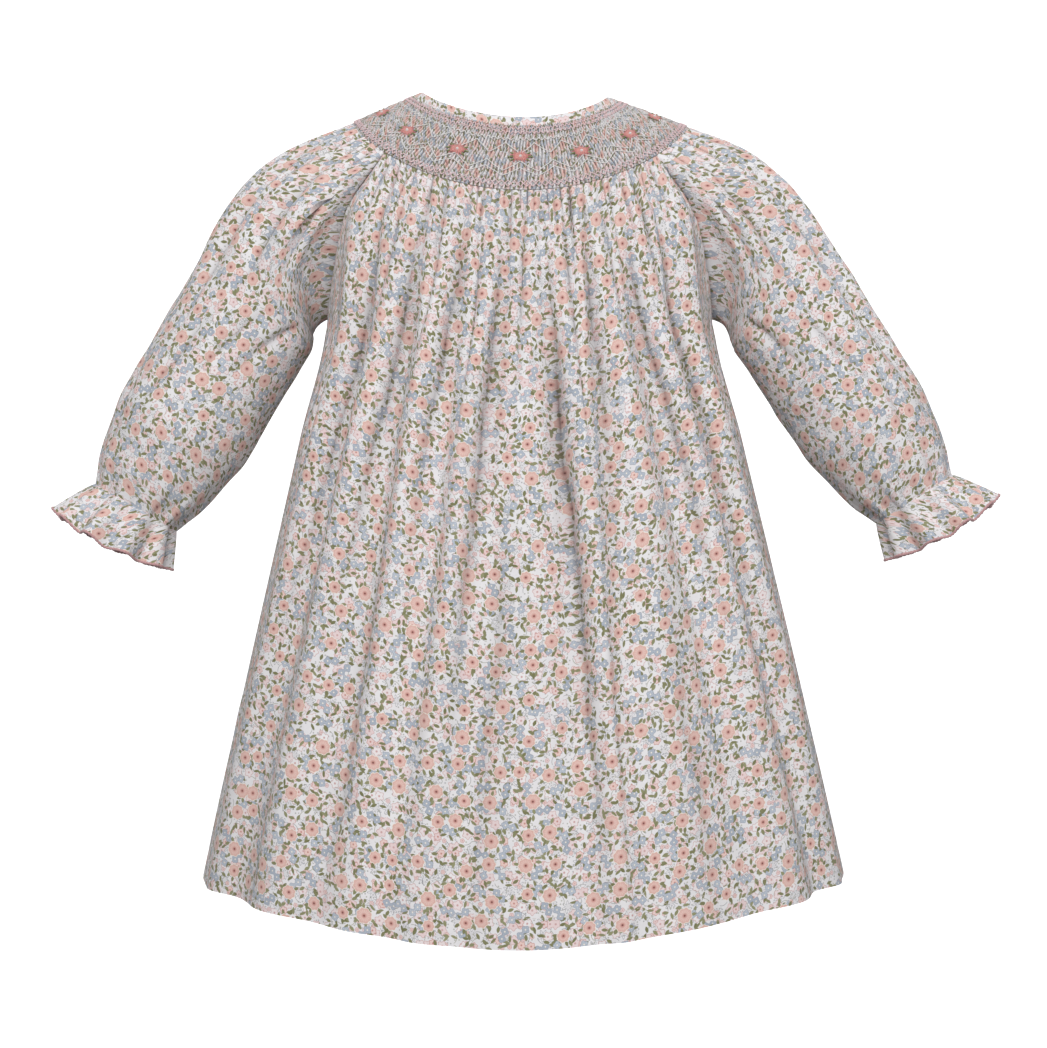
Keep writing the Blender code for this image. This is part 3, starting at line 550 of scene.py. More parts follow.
@dataclass(frozen=True)
class ArmForm:
    """One sleeve and its frill: a straight arm from the shoulder, blended into the armhole."""

    side: Side
    pivot_x: float
    lean: float
    fullness: float
    slimmer: float
    bend: float
    folds: Columns
    body: BodyForm = BodyForm()
    pivot_drop: float = 0.069
    forward: float = math.radians(3)
    cap_end: float = 0.058
    underarm_slope: float = 0.3
    lift: float = 0.12
    depth_share: float = 0.95
    wrist_at: float = 0.177
    fold_start: float = 0.2
    gather: float = 0.0011
    gather_from: float = 0.135
    waves: int = 10
    frill_length: float = 0.024
    flare: float = 0.0125
    wave_depth: float = 0.0034
    swing: float = 0.0012
    short_under: float = 0.16
    long_front: float = 0.12
    close_under: float = 0.55
    arm: Columns = field(
        default_factory=lambda: table(
            "reach half_width",
            (0.050, 0.0380),
            (0.125, 0.0378),
            (0.145, 0.0345),
            (0.163, 0.0300),
            (0.171, 0.0262),
            (0.177, 0.0236),
        )
    )

    def directions(self) -> tuple[Array, Array, Array, Array]:
        """The shoulder's pivot, and unit directions down the arm, away from the body and forward."""
        sign = self.side.value
        pivot = np.array([sign * self.pivot_x, 0, -self.pivot_drop])
        along = unit(np.array([sign * math.sin(self.lean), -math.tan(self.forward), -math.cos(self.lean)]))
        forward = unit(np.array([0, -1, 0]) + along * along[1])
        out = unit(np.cross(forward, along) * sign)
        return pivot, along, out, forward

    def ring(self, turn: Array, reach: Array, extra: Array | float = 0.0) -> Array:
        """Points round the arm. turn is 0 on the underside and grows towards the front."""
        pivot, along, out, forward = self.directions()
        half = through(reach, self.arm["reach"], self.arm["half_width"]) * self.slimmer + extra
        cos, sin = np.cos(turn)[..., None], np.sin(turn)[..., None]
        return pivot + along * reach[..., None] + half[..., None] * (
            -out * cos + forward * sin * self.depth_share
        )

    def sleeve(self, times: int) -> tuple[Array, Array, Array]:
        """Middle surface of the sleeve as closed rings, from the raglan seams and yoke to the wrist.

        The cap is a cubic that leaves each point of the armhole in its own direction and meets the arm.

        Args:
            times: Columns and rows for each one of the solid.

        Returns:
            The grid, the share round it from the underarm, and the share of the rows down it.
        """
        side, body, yoke = self.side, self.body, self.body.yoke
        seam = np.linspace(0, 1, 10 * times + 1)
        arc = side.value * np.linspace(body.corner_front, body.corner_back, 20 * times + 1)
        before = body.raglan(side, Face.FRONT, seam[:0:-1])
        behind = body.raglan(side, Face.BACK, seam[1:-1])
        start = np.concatenate([before, yoke.lower(arc), behind])
        slope = yoke.slope(arc)
        along = self.directions()[1]
        tuck = unit(np.array([side.value, 0, -self.underarm_slope]))
        lean_front = slope[0] + (tuck - slope[0]) * seam[:0:-1, None] ** 2
        lean_back = slope[-1] + (tuck - slope[-1]) * seam[1:-1, None] ** 2
        leave = np.concatenate([lean_front, slope, lean_back])
        leave[:, 2] += self.lift
        turn = np.linspace(0, 2 * math.pi, len(start), endpoint=False)
        end = self.ring(turn, np.full(len(start), self.cap_end))
        span = np.linalg.norm(end - start, axis=1)[:, None]
        t = np.linspace(0, 1, 6 * times + 1)[:, None, None]
        cap = (
            start * (1 + 2 * t) * (1 - t) ** 2
            + end * t * t * (3 - 2 * t)
            + unit(leave) * span * self.fullness * t * (1 - t) ** 2
            + along * span * t * t * (t - 1)
        )
        reach = np.linspace(self.cap_end, self.wrist_at, 7 * times + 1)[1:, None]
        near = smooth_step((reach - self.gather_from) / (self.wrist_at - self.gather_from))
        arm = self.ring(turn[None, :], reach, self.gather * near * np.cos(self.waves * turn[None, :]))
        grid = np.concatenate([cap, arm])
        rows = np.linspace(0, 1, len(grid))[:, None]
        share = (turn / (2 * math.pi))[None, :]
        push = sleeve_folds(share, rows, self.folds, self.fold_start)
        return grid - surface_normals(grid, True, side.value) * push[..., None], share, rows

    def frill(self, columns: int, rows: int) -> tuple[Array, Array, Array]:
        """Middle surface of the wrist frill: rings that flare and wave more towards the free edge.

        Args:
            columns: Columns round it.
            rows: Rows down it.

        Returns:
            The grid, the turn round it and the share of the way down.
        """
        share = np.linspace(0, 1, rows + 1)[:, None]
        turn = np.linspace(0, 2 * math.pi, columns, endpoint=False)[None, :]
        wave = np.cos(self.waves * turn + 0.6 * np.sin(3 * turn) * share)
        fine = 0.22 * np.cos(23 * turn + 2.0 * np.sin(2 * turn)) * share * (1.4 - share)
        depth = self.gather + (self.wave_depth - self.gather) * share
        under = (1 + np.cos(turn)) / 2
        extra = self.flare * (1 - self.close_under * under) * share**0.8 + depth * (wave + fine)
        length = self.frill_length * (1 - self.short_under * under + self.long_front * np.sin(turn) ** 2)
        length = length - self.swing * wave * share
        _, along, out, _ = self.directions()
        rings = self.ring(turn, np.full_like(extra, self.wrist_at), extra)
        return rings + along * (length * share)[..., None] + out * (self.bend * share)[..., None], turn, share


# Folds and creases

FRONT_FOLDS = table(
    "at_yoke at_hem width depth depth_hem reach",
    (-0.050, -0.133, 0.054, 0.0050, 0.0022, 1.30),
    (0.085, 0.135, 0.060, 0.0056, 0.0026, 1.30),
    (0.250, 0.270, 0.052, 0.0044, 0.0016, 1.10),
    (0.400, 0.520, 0.054, 0.0046, 0.0022, 1.20),
    (0.570, 0.720, 0.056, 0.0036, 0.0036, 1.30),
    (-0.210, -0.290, 0.050, 0.0038, 0.0018, 1.10),
    (-0.390, -0.480, 0.056, 0.0042, 0.0020, 1.10),
    (-0.570, -0.700, 0.060, 0.0034, 0.0040, 1.30),
    (-0.300, 0.000, 0.034, 0.0026, 0.0000, 0.24),
    (-0.130, 0.000, 0.034, 0.0024, 0.0000, 0.26),
    (0.170, 0.000, 0.034, 0.0026, 0.0000, 0.30),
    (0.325, 0.000, 0.034, 0.0024, 0.0000, 0.24),
    (0.485, 0.000, 0.034, 0.0024, 0.0000, 0.22),
    (-0.480, 0.000, 0.034, 0.0024, 0.0000, 0.24),
)
BACK_FOLDS = table(
    "at_yoke at_hem width depth depth_hem reach",
    (-0.160, -0.180, 0.056, 0.0048, 0.0024, 1.30),
    (0.175, 0.200, 0.058, 0.0050, 0.0026, 1.30),
    (0.330, 0.370, 0.054, 0.0042, 0.0018, 1.10),
    (-0.340, -0.390, 0.054, 0.0044, 0.0020, 1.20),
    (0.500, 0.600, 0.058, 0.0038, 0.0034, 1.30),
    (-0.520, -0.620, 0.058, 0.0036, 0.0032, 1.30),
    (-0.250, 0.000, 0.036, 0.0026, 0.0000, 0.26),
    (0.255, 0.000, 0.036, 0.0026, 0.0000, 0.30),
    (0.415, 0.000, 0.036, 0.0024, 0.0000, 0.22),
    (-0.430, 0.000, 0.036, 0.0026, 0.0000, 0.24),
)
RIGHT_SLEEVE_FOLDS = table(
    "at_yoke at_wrist width depth reach",
    (0.425, 0.330, 0.030, 0.0048, 0.55),
    (0.340, 0.250, 0.030, 0.0056, 0.42),
    (0.270, 0.150, 0.028, 0.0040, 0.38),
    (0.620, 0.660, 0.030, 0.0046, 0.50),
    (0.720, 0.790, 0.028, 0.0044, 0.42),
)
LEFT_SLEEVE_FOLDS = table(
    "at_yoke at_wrist width depth reach",
    (0.390, 0.415, 0.028, 0.0052, 0.90),
    (0.315, 0.250, 0.030, 0.0050, 0.45),
    (0.265, 0.150, 0.028, 0.0036, 0.38),
    (0.610, 0.600, 0.030, 0.0046, 0.55),
    (0.710, 0.780, 0.028, 0.0044, 0.42),
)

# Creases: place across at the start and end, where they start, are deepest and end down the piece,
# half width on the two sides, and depth. A negative depth is a ridge.
FRONT_CREASES = table(
    "at_start at_end start deepest end left right depth",
    (-0.060, -0.105, 0.00, 0.22, 0.88, 0.020, 0.034, 0.0044),
    (0.095, 0.128, 0.00, 0.30, 1.10, 0.026, 0.020, 0.0062),
    (0.262, 0.250, 0.00, 0.16, 0.66, 0.018, 0.030, 0.0042),
    (0.408, 0.470, 0.02, 0.20, 0.74, 0.030, 0.018, 0.0047),
    (-0.215, -0.265, 0.00, 0.18, 0.60, 0.030, 0.018, 0.0042),
    (-0.395, -0.455, 0.02, 0.20, 0.72, 0.018, 0.032, 0.0047),
    (0.575, 0.640, 0.06, 0.24, 0.80, 0.030, 0.018, 0.0042),
    (-0.580, -0.640, 0.06, 0.22, 0.78, 0.018, 0.030, 0.0042),
    (0.020, -0.010, 0.00, 0.10, 0.34, 0.014, 0.020, 0.0031),
    (0.335, 0.360, 0.00, 0.09, 0.30, 0.014, 0.018, 0.0029),
    (-0.300, -0.330, 0.00, 0.09, 0.28, 0.016, 0.012, 0.0031),
    (-0.130, -0.160, 0.00, 0.12, 0.42, 0.016, 0.014, 0.0031),
    (0.170, 0.190, 0.00, 0.12, 0.46, 0.014, 0.018, 0.0034),
    (0.490, 0.520, 0.00, 0.08, 0.26, 0.014, 0.016, 0.0029),
    (-0.480, -0.520, 0.00, 0.08, 0.30, 0.014, 0.018, 0.0029),
    (-0.020, -0.040, 0.34, 0.62, 1.20, 0.024, 0.040, 0.0018),
    (0.210, 0.200, 0.40, 0.70, 1.20, 0.034, 0.022, 0.0016),
    (-0.340, -0.360, 0.36, 0.64, 1.15, 0.026, 0.040, 0.0019),
    (0.330, 0.350, 0.42, 0.74, 1.20, 0.038, 0.024, 0.0018),
    (-0.500, -0.540, 0.44, 0.80, 1.25, 0.030, 0.030, 0.0021),
    (0.740, 0.720, 0.16, 0.30, 0.62, 0.026, 0.018, 0.0036),
    (-0.740, -0.730, 0.14, 0.28, 0.60, 0.018, 0.026, 0.0036),
    (0.850, 0.820, 0.06, 0.16, 0.40, 0.024, 0.020, 0.0036),
    (-0.850, -0.820, 0.06, 0.15, 0.42, 0.020, 0.024, 0.0036),
)
BACK_CREASES = table(
    "at_start at_end start deepest end left right depth",
    (-0.165, -0.180, 0.00, 0.24, 0.94, 0.020, 0.034, 0.0047),
    (0.180, 0.200, 0.00, 0.28, 1.10, 0.030, 0.020, 0.0052),
    (0.335, 0.360, 0.00, 0.18, 0.66, 0.018, 0.030, 0.0042),
    (-0.345, -0.380, 0.00, 0.20, 0.74, 0.030, 0.018, 0.0047),
    (0.505, 0.560, 0.04, 0.24, 0.80, 0.030, 0.018, 0.0042),
    (-0.525, -0.580, 0.04, 0.22, 0.78, 0.018, 0.030, 0.0042),
    (0.258, 0.270, 0.00, 0.10, 0.40, 0.014, 0.018, 0.0031),
    (-0.250, -0.270, 0.00, 0.11, 0.36, 0.016, 0.013, 0.0031),
    (-0.430, -0.450, 0.00, 0.09, 0.30, 0.014, 0.018, 0.0029),
    (0.420, 0.440, 0.00, 0.09, 0.32, 0.018, 0.014, 0.0029),
    (0.000, 0.010, 0.38, 0.70, 1.20, 0.026, 0.038, 0.0016),
    (-0.260, -0.280, 0.42, 0.72, 1.20, 0.036, 0.024, 0.0018),
    (0.290, 0.300, 0.36, 0.66, 1.15, 0.024, 0.036, 0.0018),
    (0.760, 0.740, 0.14, 0.30, 0.62, 0.026, 0.018, 0.0036),
    (-0.760, -0.740, 0.16, 0.28, 0.60, 0.018, 0.026, 0.0036),
)

# Creases of the sleeves, with the place given as a share round them from the underarm, forwards
RIGHT_SLEEVE_CREASES = table(
    "at_start at_end start deepest end left right depth",
    (0.425, 0.360, 0.02, 0.26, 0.66, 0.010, 0.018, 0.0037),
    (0.340, 0.270, 0.02, 0.20, 0.52, 0.018, 0.010, 0.0041),
    (0.272, 0.180, 0.03, 0.16, 0.44, 0.010, 0.016, 0.0031),
    (0.470, 0.440, 0.02, 0.14, 0.42, 0.012, 0.010, 0.0020),
    (0.385, 0.330, 0.02, 0.12, 0.36, 0.010, 0.014, 0.0020),
    (0.620, 0.650, 0.02, 0.22, 0.60, 0.016, 0.010, 0.0034),
    (0.720, 0.770, 0.03, 0.18, 0.50, 0.010, 0.016, 0.0031),
    (0.540, 0.560, 0.02, 0.12, 0.40, 0.010, 0.014, 0.0020),
    (0.300, 0.380, 0.46, 0.62, 0.88, 0.022, 0.014, 0.0024),
    (0.200, 0.300, 0.40, 0.54, 0.74, 0.014, 0.022, 0.0024),
    (0.450, 0.400, 0.58, 0.74, 0.96, 0.018, 0.014, 0.0019),
    (0.100, 0.220, 0.34, 0.46, 0.66, 0.020, 0.014, 0.0031),
    (0.640, 0.580, 0.52, 0.68, 0.92, 0.016, 0.020, 0.0022),
    (0.900, 0.780, 0.36, 0.48, 0.68, 0.016, 0.020, 0.0027),
)
LEFT_SLEEVE_CREASES = table(
    "at_start at_end start deepest end left right depth",
    (0.390, 0.410, 0.02, 0.36, 0.92, 0.010, 0.018, 0.0041),
    (0.315, 0.260, 0.02, 0.20, 0.54, 0.016, 0.010, 0.0037),
    (0.265, 0.180, 0.03, 0.16, 0.44, 0.010, 0.016, 0.0031),
    (0.460, 0.460, 0.02, 0.14, 0.46, 0.012, 0.010, 0.0022),
    (0.355, 0.340, 0.02, 0.12, 0.38, 0.010, 0.012, 0.0020),
    (0.610, 0.605, 0.02, 0.24, 0.64, 0.016, 0.010, 0.0034),
    (0.710, 0.760, 0.03, 0.18, 0.50, 0.010, 0.016, 0.0031),
    (0.530, 0.545, 0.02, 0.12, 0.42, 0.010, 0.014, 0.0020),
    (0.230, 0.330, 0.42, 0.58, 0.82, 0.020, 0.014, 0.0024),
    (0.350, 0.300, 0.60, 0.76, 0.96, 0.014, 0.018, 0.0019),
    (0.110, 0.210, 0.32, 0.46, 0.66, 0.020, 0.014, 0.0031),
    (0.650, 0.590, 0.54, 0.70, 0.92, 0.016, 0.020, 0.0022),
    (0.890, 0.780, 0.36, 0.50, 0.70, 0.016, 0.020, 0.0027),
)


# A crease's core as a share of its width, and the depth from which its core gets the full painted shade
CREASE_CORE = 0.32
CREASE_DARKEST = 0.0052


def fold_profile(offset: Array) -> Array:
    """One fold across its width: a bell-shaped valley between two soft raised edges."""
    return np.exp(-(offset**2)) - 0.42 * np.exp(-(((np.abs(offset) - 1.9) / 0.9) ** 2))


def panel_folds(across: Array, down: Array, folds: Columns) -> Array:
    """How far the main folds push a panel in: each one's profile times its depth, which fades downwards.

    Args:
        across: Places across the panel.
        down: Shares of the way down.
        folds: The panel's folds.

    Returns:
        The depth at each point.
    """
    push = np.zeros(np.broadcast(across, down).shape)
    starts = smooth_step(down / (0.05 + 0.25 * smooth_step((np.abs(across) - 0.6) / 0.4)))
    for middle, _, width, depth, depth_hem, reach in zip(*folds.values()):
        fades = 1 - smooth_step((down - 0.45 * reach) / (0.55 * reach))
        stays = depth_hem * smooth_step(down / 0.5)
        push += (depth * starts * fades + stays) * fold_profile((across - middle) / width)
    return push


def sleeve_folds(share: Array, rows: Array, folds: Columns, start: float) -> Array:
    """How far the main folds push a sleeve in, each one's place moving evenly from yoke to wrist."""
    push = np.zeros(np.broadcast(share, rows).shape)
    for at_yoke, at_wrist, width, depth, far in zip(*folds.values()):
        middle = at_yoke + (at_wrist - at_yoke) * rows
        lives = smooth_step(rows / start) * (1 - smooth_step((rows - 0.4 * far) / (0.6 * far)))
        push += depth * lives * fold_profile((share - middle) / width)
    return push


def crease_depth(across: Array, down: Array, creases: Columns) -> tuple[Array, Array]:
    """How far the creases push the cloth in.

    Each crease is a bell across with a narrow core that falls off evenly, both wider on one side. Its depth
    rises from its start to its deepest place and falls to its end, and its middle wanders a little.

    Args:
        across: Places across the piece.
        down: Shares of the way down.
        creases: The piece's creases.

    Returns:
        The depth at each point, and the painted shade along the deeper creases' cores.
    """
    push = np.zeros(np.broadcast(across, down).shape)
    crease_shade = np.zeros_like(push)
    for number, row in enumerate(zip(*creases.values())):
        at_start, at_end, start, deepest, end, left, right, depth = row
        t = np.clip((down - start) / (end - start), 0, 1)
        middle = at_start + (at_end - at_start) * t + 0.25 * left * drift(down * 9, number * 1.9)
        lives = smooth_step((down - start) / (deepest - start)) * (1 - smooth_step((down - deepest) / (end - deepest)))
        offset = (across - middle) / np.where(across < middle, left, right)
        core = np.exp(-np.abs(offset) / CREASE_CORE)
        push += depth * lives * (0.6 * np.exp(-(offset**2)) + 0.4 * core)
        # Painted shade along the cores of the deeper creases.
        crease_shade += np.clip(depth / CREASE_DARKEST, 0, 1) * lives * core
    return push, np.clip(crease_shade, 0, 1)


def armpit_tuck(top: Array, seam: Array, below: Array) -> tuple[Array, Array]:
    """The deep fold along the lower raglan seam: the cloth on both sides of it turns inwards.

    Points move towards the body's middle line, by a bell of their distance from the seam.

    Args:
        top: The seam's points.
        seam: Each one's share of the way from the yoke to the underarm.
        below: Distance of the piece's points from the seam.

    Returns:
        How far each point moves, as vectors, and the painted shade deep in the fold.
    """
    lives = smooth_step((seam - 0.15) / 0.35) * (1 - smooth_step((seam - 0.86) / 0.14))
    inward = unit(top * [-1, -1, 0])
    bell = lives * np.exp(-((below / 0.0065) ** 2))
    # The second value is painted shade, darkest along the seam's fold.
    return 0.0095 * bell[..., None] * inward, bell * np.exp(-below / 0.005)


def gathers(across: Array, down: Array, count: float, depth: float, length: float, seed: float) -> Array:
    """Small gathers that run down from a seam and merge in pairs.

    A wave with sharp valleys fades within its own length, and a wave of twice its width outlives it.

    Args:
        across: Places across, from 0 to 1 over the gathered part.
        down: Distance from the seam, in metres.
        count: Gathers over the gathered part.
        depth: The wave's height.
        length: How far the small gathers run.
        seed: Moves the irregularities.

    Returns:
        Height, from about -depth to 0.
    """
    uneven = drift(across * 31, seed)
    phase = math.pi * (count * across + 0.35 * drift(across * 13, seed + 1))
    reach = length * (1 + 0.45 * uneven)
    small = np.exp(-((down / reach) ** 1.6)) * (np.abs(np.sin(phase)) ** 0.5 - 1)
    wide = np.exp(-((down / (2.6 * reach)) ** 2)) * smooth_step(down / (0.5 * length))
    wide = wide * (np.abs(np.sin(phase / 2 + 0.4 + 4 * down)) ** 0.6 - 1)
    return depth * (1 + 0.4 * drift(across * 47, seed + 2)) * (small + 0.9 * wide)


# Finishes


def srgb(red: int, green: int, blue: int) -> tuple[float, float, float, float]:
    """A colour for a shader, from its screen values of 0 to 255."""
    parts = np.array([red, green, blue]) / 255
    linear = np.where(parts <= 0.04045, parts / 12.92, ((parts + 0.055) / 1.055) ** 2.4)
    return (*linear.tolist(), 1.0)


@dataclass(frozen=True)
class Amount:
    """A number that varies over a surface, with the usual sums on it."""

    tree: bpy.types.NodeTree
    socket: bpy.types.NodeSocket

    def sum_with(self, operation: str, *others: "Amount | float") -> "Amount":
        """The result of one of the shader's sums.

        Args:
            operation: The sum's name.
            others: What it takes after this amount.

        Returns:
            The new amount.
        """
        node = self.tree.nodes.new("ShaderNodeMath")
        node.operation = operation
        for entry, value in zip(node.inputs, (self, *others)):
            if isinstance(value, Amount):
                self.tree.links.new(value.socket, entry)
            else:
                entry.default_value = value
        return Amount(self.tree, node.outputs[0])

    def __add__(self, other: "Amount | float") -> "Amount":
        """Sum."""
        return self.sum_with("ADD", other)

    def __sub__(self, other: "Amount | float") -> "Amount":
        """Difference."""
        return self.sum_with("SUBTRACT", other)

    def __mul__(self, other: "Amount | float") -> "Amount":
        """Product."""
        return self.sum_with("MULTIPLY", other)

    def cosine(self) -> "Amount":
        """Cosine."""
        return self.sum_with("COSINE")

    def size(self) -> "Amount":
        """The amount without its sign."""
        return self.sum_with("ABSOLUTE")

    def below(self, limit: "Amount | float", soft: float) -> "Amount":
        """1 well below the limit, 0 above it, over a soft edge."""
        node = self.sum_with("MULTIPLY_ADD", -1 / soft, 0.5)
        if isinstance(limit, Amount):
            node = node + limit * (1 / soft)
        else:
            node = node + limit / soft
        node.socket.node.use_clamp = True
        return node

    def under(self, limit: float) -> "Amount":
        """1 below the limit, 0 above it."""
        return self.sum_with("LESS_THAN", limit)


@dataclass(frozen=True)
class Spot:
    """One motif's own place on the cloth: coordinates from its middle, turned at random, and its luck."""

    x: Amount
    y: Amount
    far: Amount
    angle: Amount
    luck: Amount
    tint: Amount


class Canvas:
    """A material being painted from its piece's cloth map."""

    def __init__(self, name: str, roughness: float) -> None:
        """Starts the material.

        Args:
            name: Its name.
            roughness: The shader's roughness.
        """
        self.material = bpy.data.materials.new(name)
        self.material.use_nodes = True
        self.tree = self.material.node_tree
        self.shader = self.tree.nodes["Principled BSDF"]
        self.shader.inputs["Roughness"].default_value = roughness
        source = self.tree.nodes.new("ShaderNodeUVMap")
        source.uv_map = "cloth"
        self.place = source.outputs[0]
        self.colour: bpy.types.NodeSocket | None = None

    def vector(self, operation: str, first: bpy.types.NodeSocket, second: object) -> bpy.types.Node:
        """A sum on vectors.

        Args:
            operation: The sum's name.
            first: Its first vector.
            second: Its second one, a socket or numbers.

        Returns:
            The node.
        """
        node = self.tree.nodes.new("ShaderNodeVectorMath")
        node.operation = operation
        self.tree.links.new(first, node.inputs[0])
        if isinstance(second, bpy.types.NodeSocket):
            self.tree.links.new(second, node.inputs[1])
        elif second is not None:
            node.inputs[1].default_value = second
        return node

    def scatter(self, spacing: float, seed: float, scattered: float = 0.7) -> Spot:
        """Cells of about one size, each with its own middle, turn and luck.

        Args:
            spacing: Distance between middles, in millimetres.
            seed: Moves the cells.
            scattered: 0 for a square grid, 1 for the least order.

        Returns:
            The spot that each point of the cloth belongs to, in millimetres.
        """
        scale = 1000 / spacing
        grown = self.vector("MULTIPLY", self.place, (scale, scale, 0)).outputs[0]
        moved = self.vector("ADD", grown, (seed * 7.31, seed * 3.77, 0)).outputs[0]
        cells = self.tree.nodes.new("ShaderNodeTexVoronoi")
        cells.voronoi_dimensions = "2D"
        cells.inputs["Scale"].default_value = 1
        cells.inputs["Randomness"].default_value = scattered
        self.tree.links.new(moved, cells.inputs["Vector"])
        offset = self.vector("SUBTRACT", moved, cells.outputs["Position"]).outputs[0]
        local = self.vector("MULTIPLY", offset, (spacing, spacing, 0)).outputs[0]
        parts = self.tree.nodes.new("ShaderNodeSeparateColor")
        self.tree.links.new(cells.outputs["Color"], parts.inputs[0])
        turn = Amount(self.tree, parts.outputs[0]) * (2 * math.pi)
        turned = self.tree.nodes.new("ShaderNodeVectorRotate")
        turned.rotation_type = "Z_AXIS"
        self.tree.links.new(local, turned.inputs["Vector"])
        self.tree.links.new(turn.socket, turned.inputs["Angle"])
        split = self.tree.nodes.new("ShaderNodeSeparateXYZ")
        self.tree.links.new(turned.outputs[0], split.inputs[0])
        x, y = Amount(self.tree, split.outputs[0]), Amount(self.tree, split.outputs[1])
        far = Amount(self.tree, self.vector("LENGTH", local, None).outputs["Value"])
        return Spot(
            x, y, far, y.sum_with("ARCTAN2", x), Amount(self.tree, parts.outputs[1]), Amount(self.tree, parts.outputs[2])
        )

    def attribute(self, name: str) -> Amount:
        """A number that the piece carries at its points, 0 where it has none."""
        node = self.tree.nodes.new("ShaderNodeAttribute")
        node.attribute_name = name
        return Amount(self.tree, node.outputs["Fac"])

    def noise(self, scale: tuple[float, float], detail: float = 2.0) -> Amount:
        """Soft noise over the cloth map.

        Args:
            scale: Lumps to a metre, across and down.
            detail: How many finer layers it has.

        Returns:
            Values round a half.
        """
        grown = self.vector("MULTIPLY", self.place, (*scale, 0)).outputs[0]
        node = self.tree.nodes.new("ShaderNodeTexNoise")
        node.noise_dimensions = "2D"
        node.inputs["Scale"].default_value = 1
        node.inputs["Detail"].default_value = detail
        self.tree.links.new(grown, node.inputs["Vector"])
        return Amount(self.tree, node.outputs[0])

    def paint(self, cover: Amount, colour: tuple, other: tuple | None = None, tint: Amount | None = None) -> None:
        """Lays a colour, or a mix of two, over what is there.

        Args:
            cover: How much it covers, from 0 to 1.
            colour: The colour.
            other: A second colour.
            tint: The share of the second one.
        """
        top: object = colour
        if other is not None and tint is not None:
            top = self.mix(tint, colour, other)
        self.colour = self.mix(cover, self.colour, top)

    def mix(self, share: Amount, first: object, second: object) -> bpy.types.NodeSocket:
        """A mix of two colours, each a socket or four numbers."""
        node = self.tree.nodes.new("ShaderNodeMix")
        node.data_type = "RGBA"
        self.tree.links.new(share.socket, node.inputs["Factor"])
        for entry, value in ((node.inputs[6], first), (node.inputs[7], second)):
            if isinstance(value, bpy.types.NodeSocket):
                self.tree.links.new(value, entry)
            else:
                entry.default_value = value
        return node.outputs[2]

    def finish(self, height: Amount, distance: float, sheen: float) -> bpy.types.Material:
        """Joins the colour and relief to the shader.

        Args:
            height: The relief, from 0 to 1.
            distance: Its full height in metres.
            sheen: How strong the cloth's soft sheen is.

        Returns:
            The material.
        """
        self.tree.links.new(self.colour, self.shader.inputs["Base Color"])
        self.shader.inputs["Sheen Weight"].default_value = sheen
        self.shader.inputs["Sheen Roughness"].default_value = 0.6
        self.shader.inputs["Specular IOR Level"].default_value = 0.25
        bump = self.tree.nodes.new("ShaderNodeBump")
        bump.inputs["Strength"].default_value = 1
        bump.inputs["Distance"].default_value = distance
        self.tree.links.new(height.socket, bump.inputs["Height"])
        self.tree.links.new(bump.outputs[0], self.shader.inputs["Normal"])
        return self.material


@dataclass(frozen=True)
class Blossom:
    """One kind of small blossom in the print, sized in millimetres."""

    spacing: float
    seed: float
    chosen: float
    petals: int
    size: float
    lobe: float
    edge: tuple
    fill: tuple
    other: tuple
    heart: float


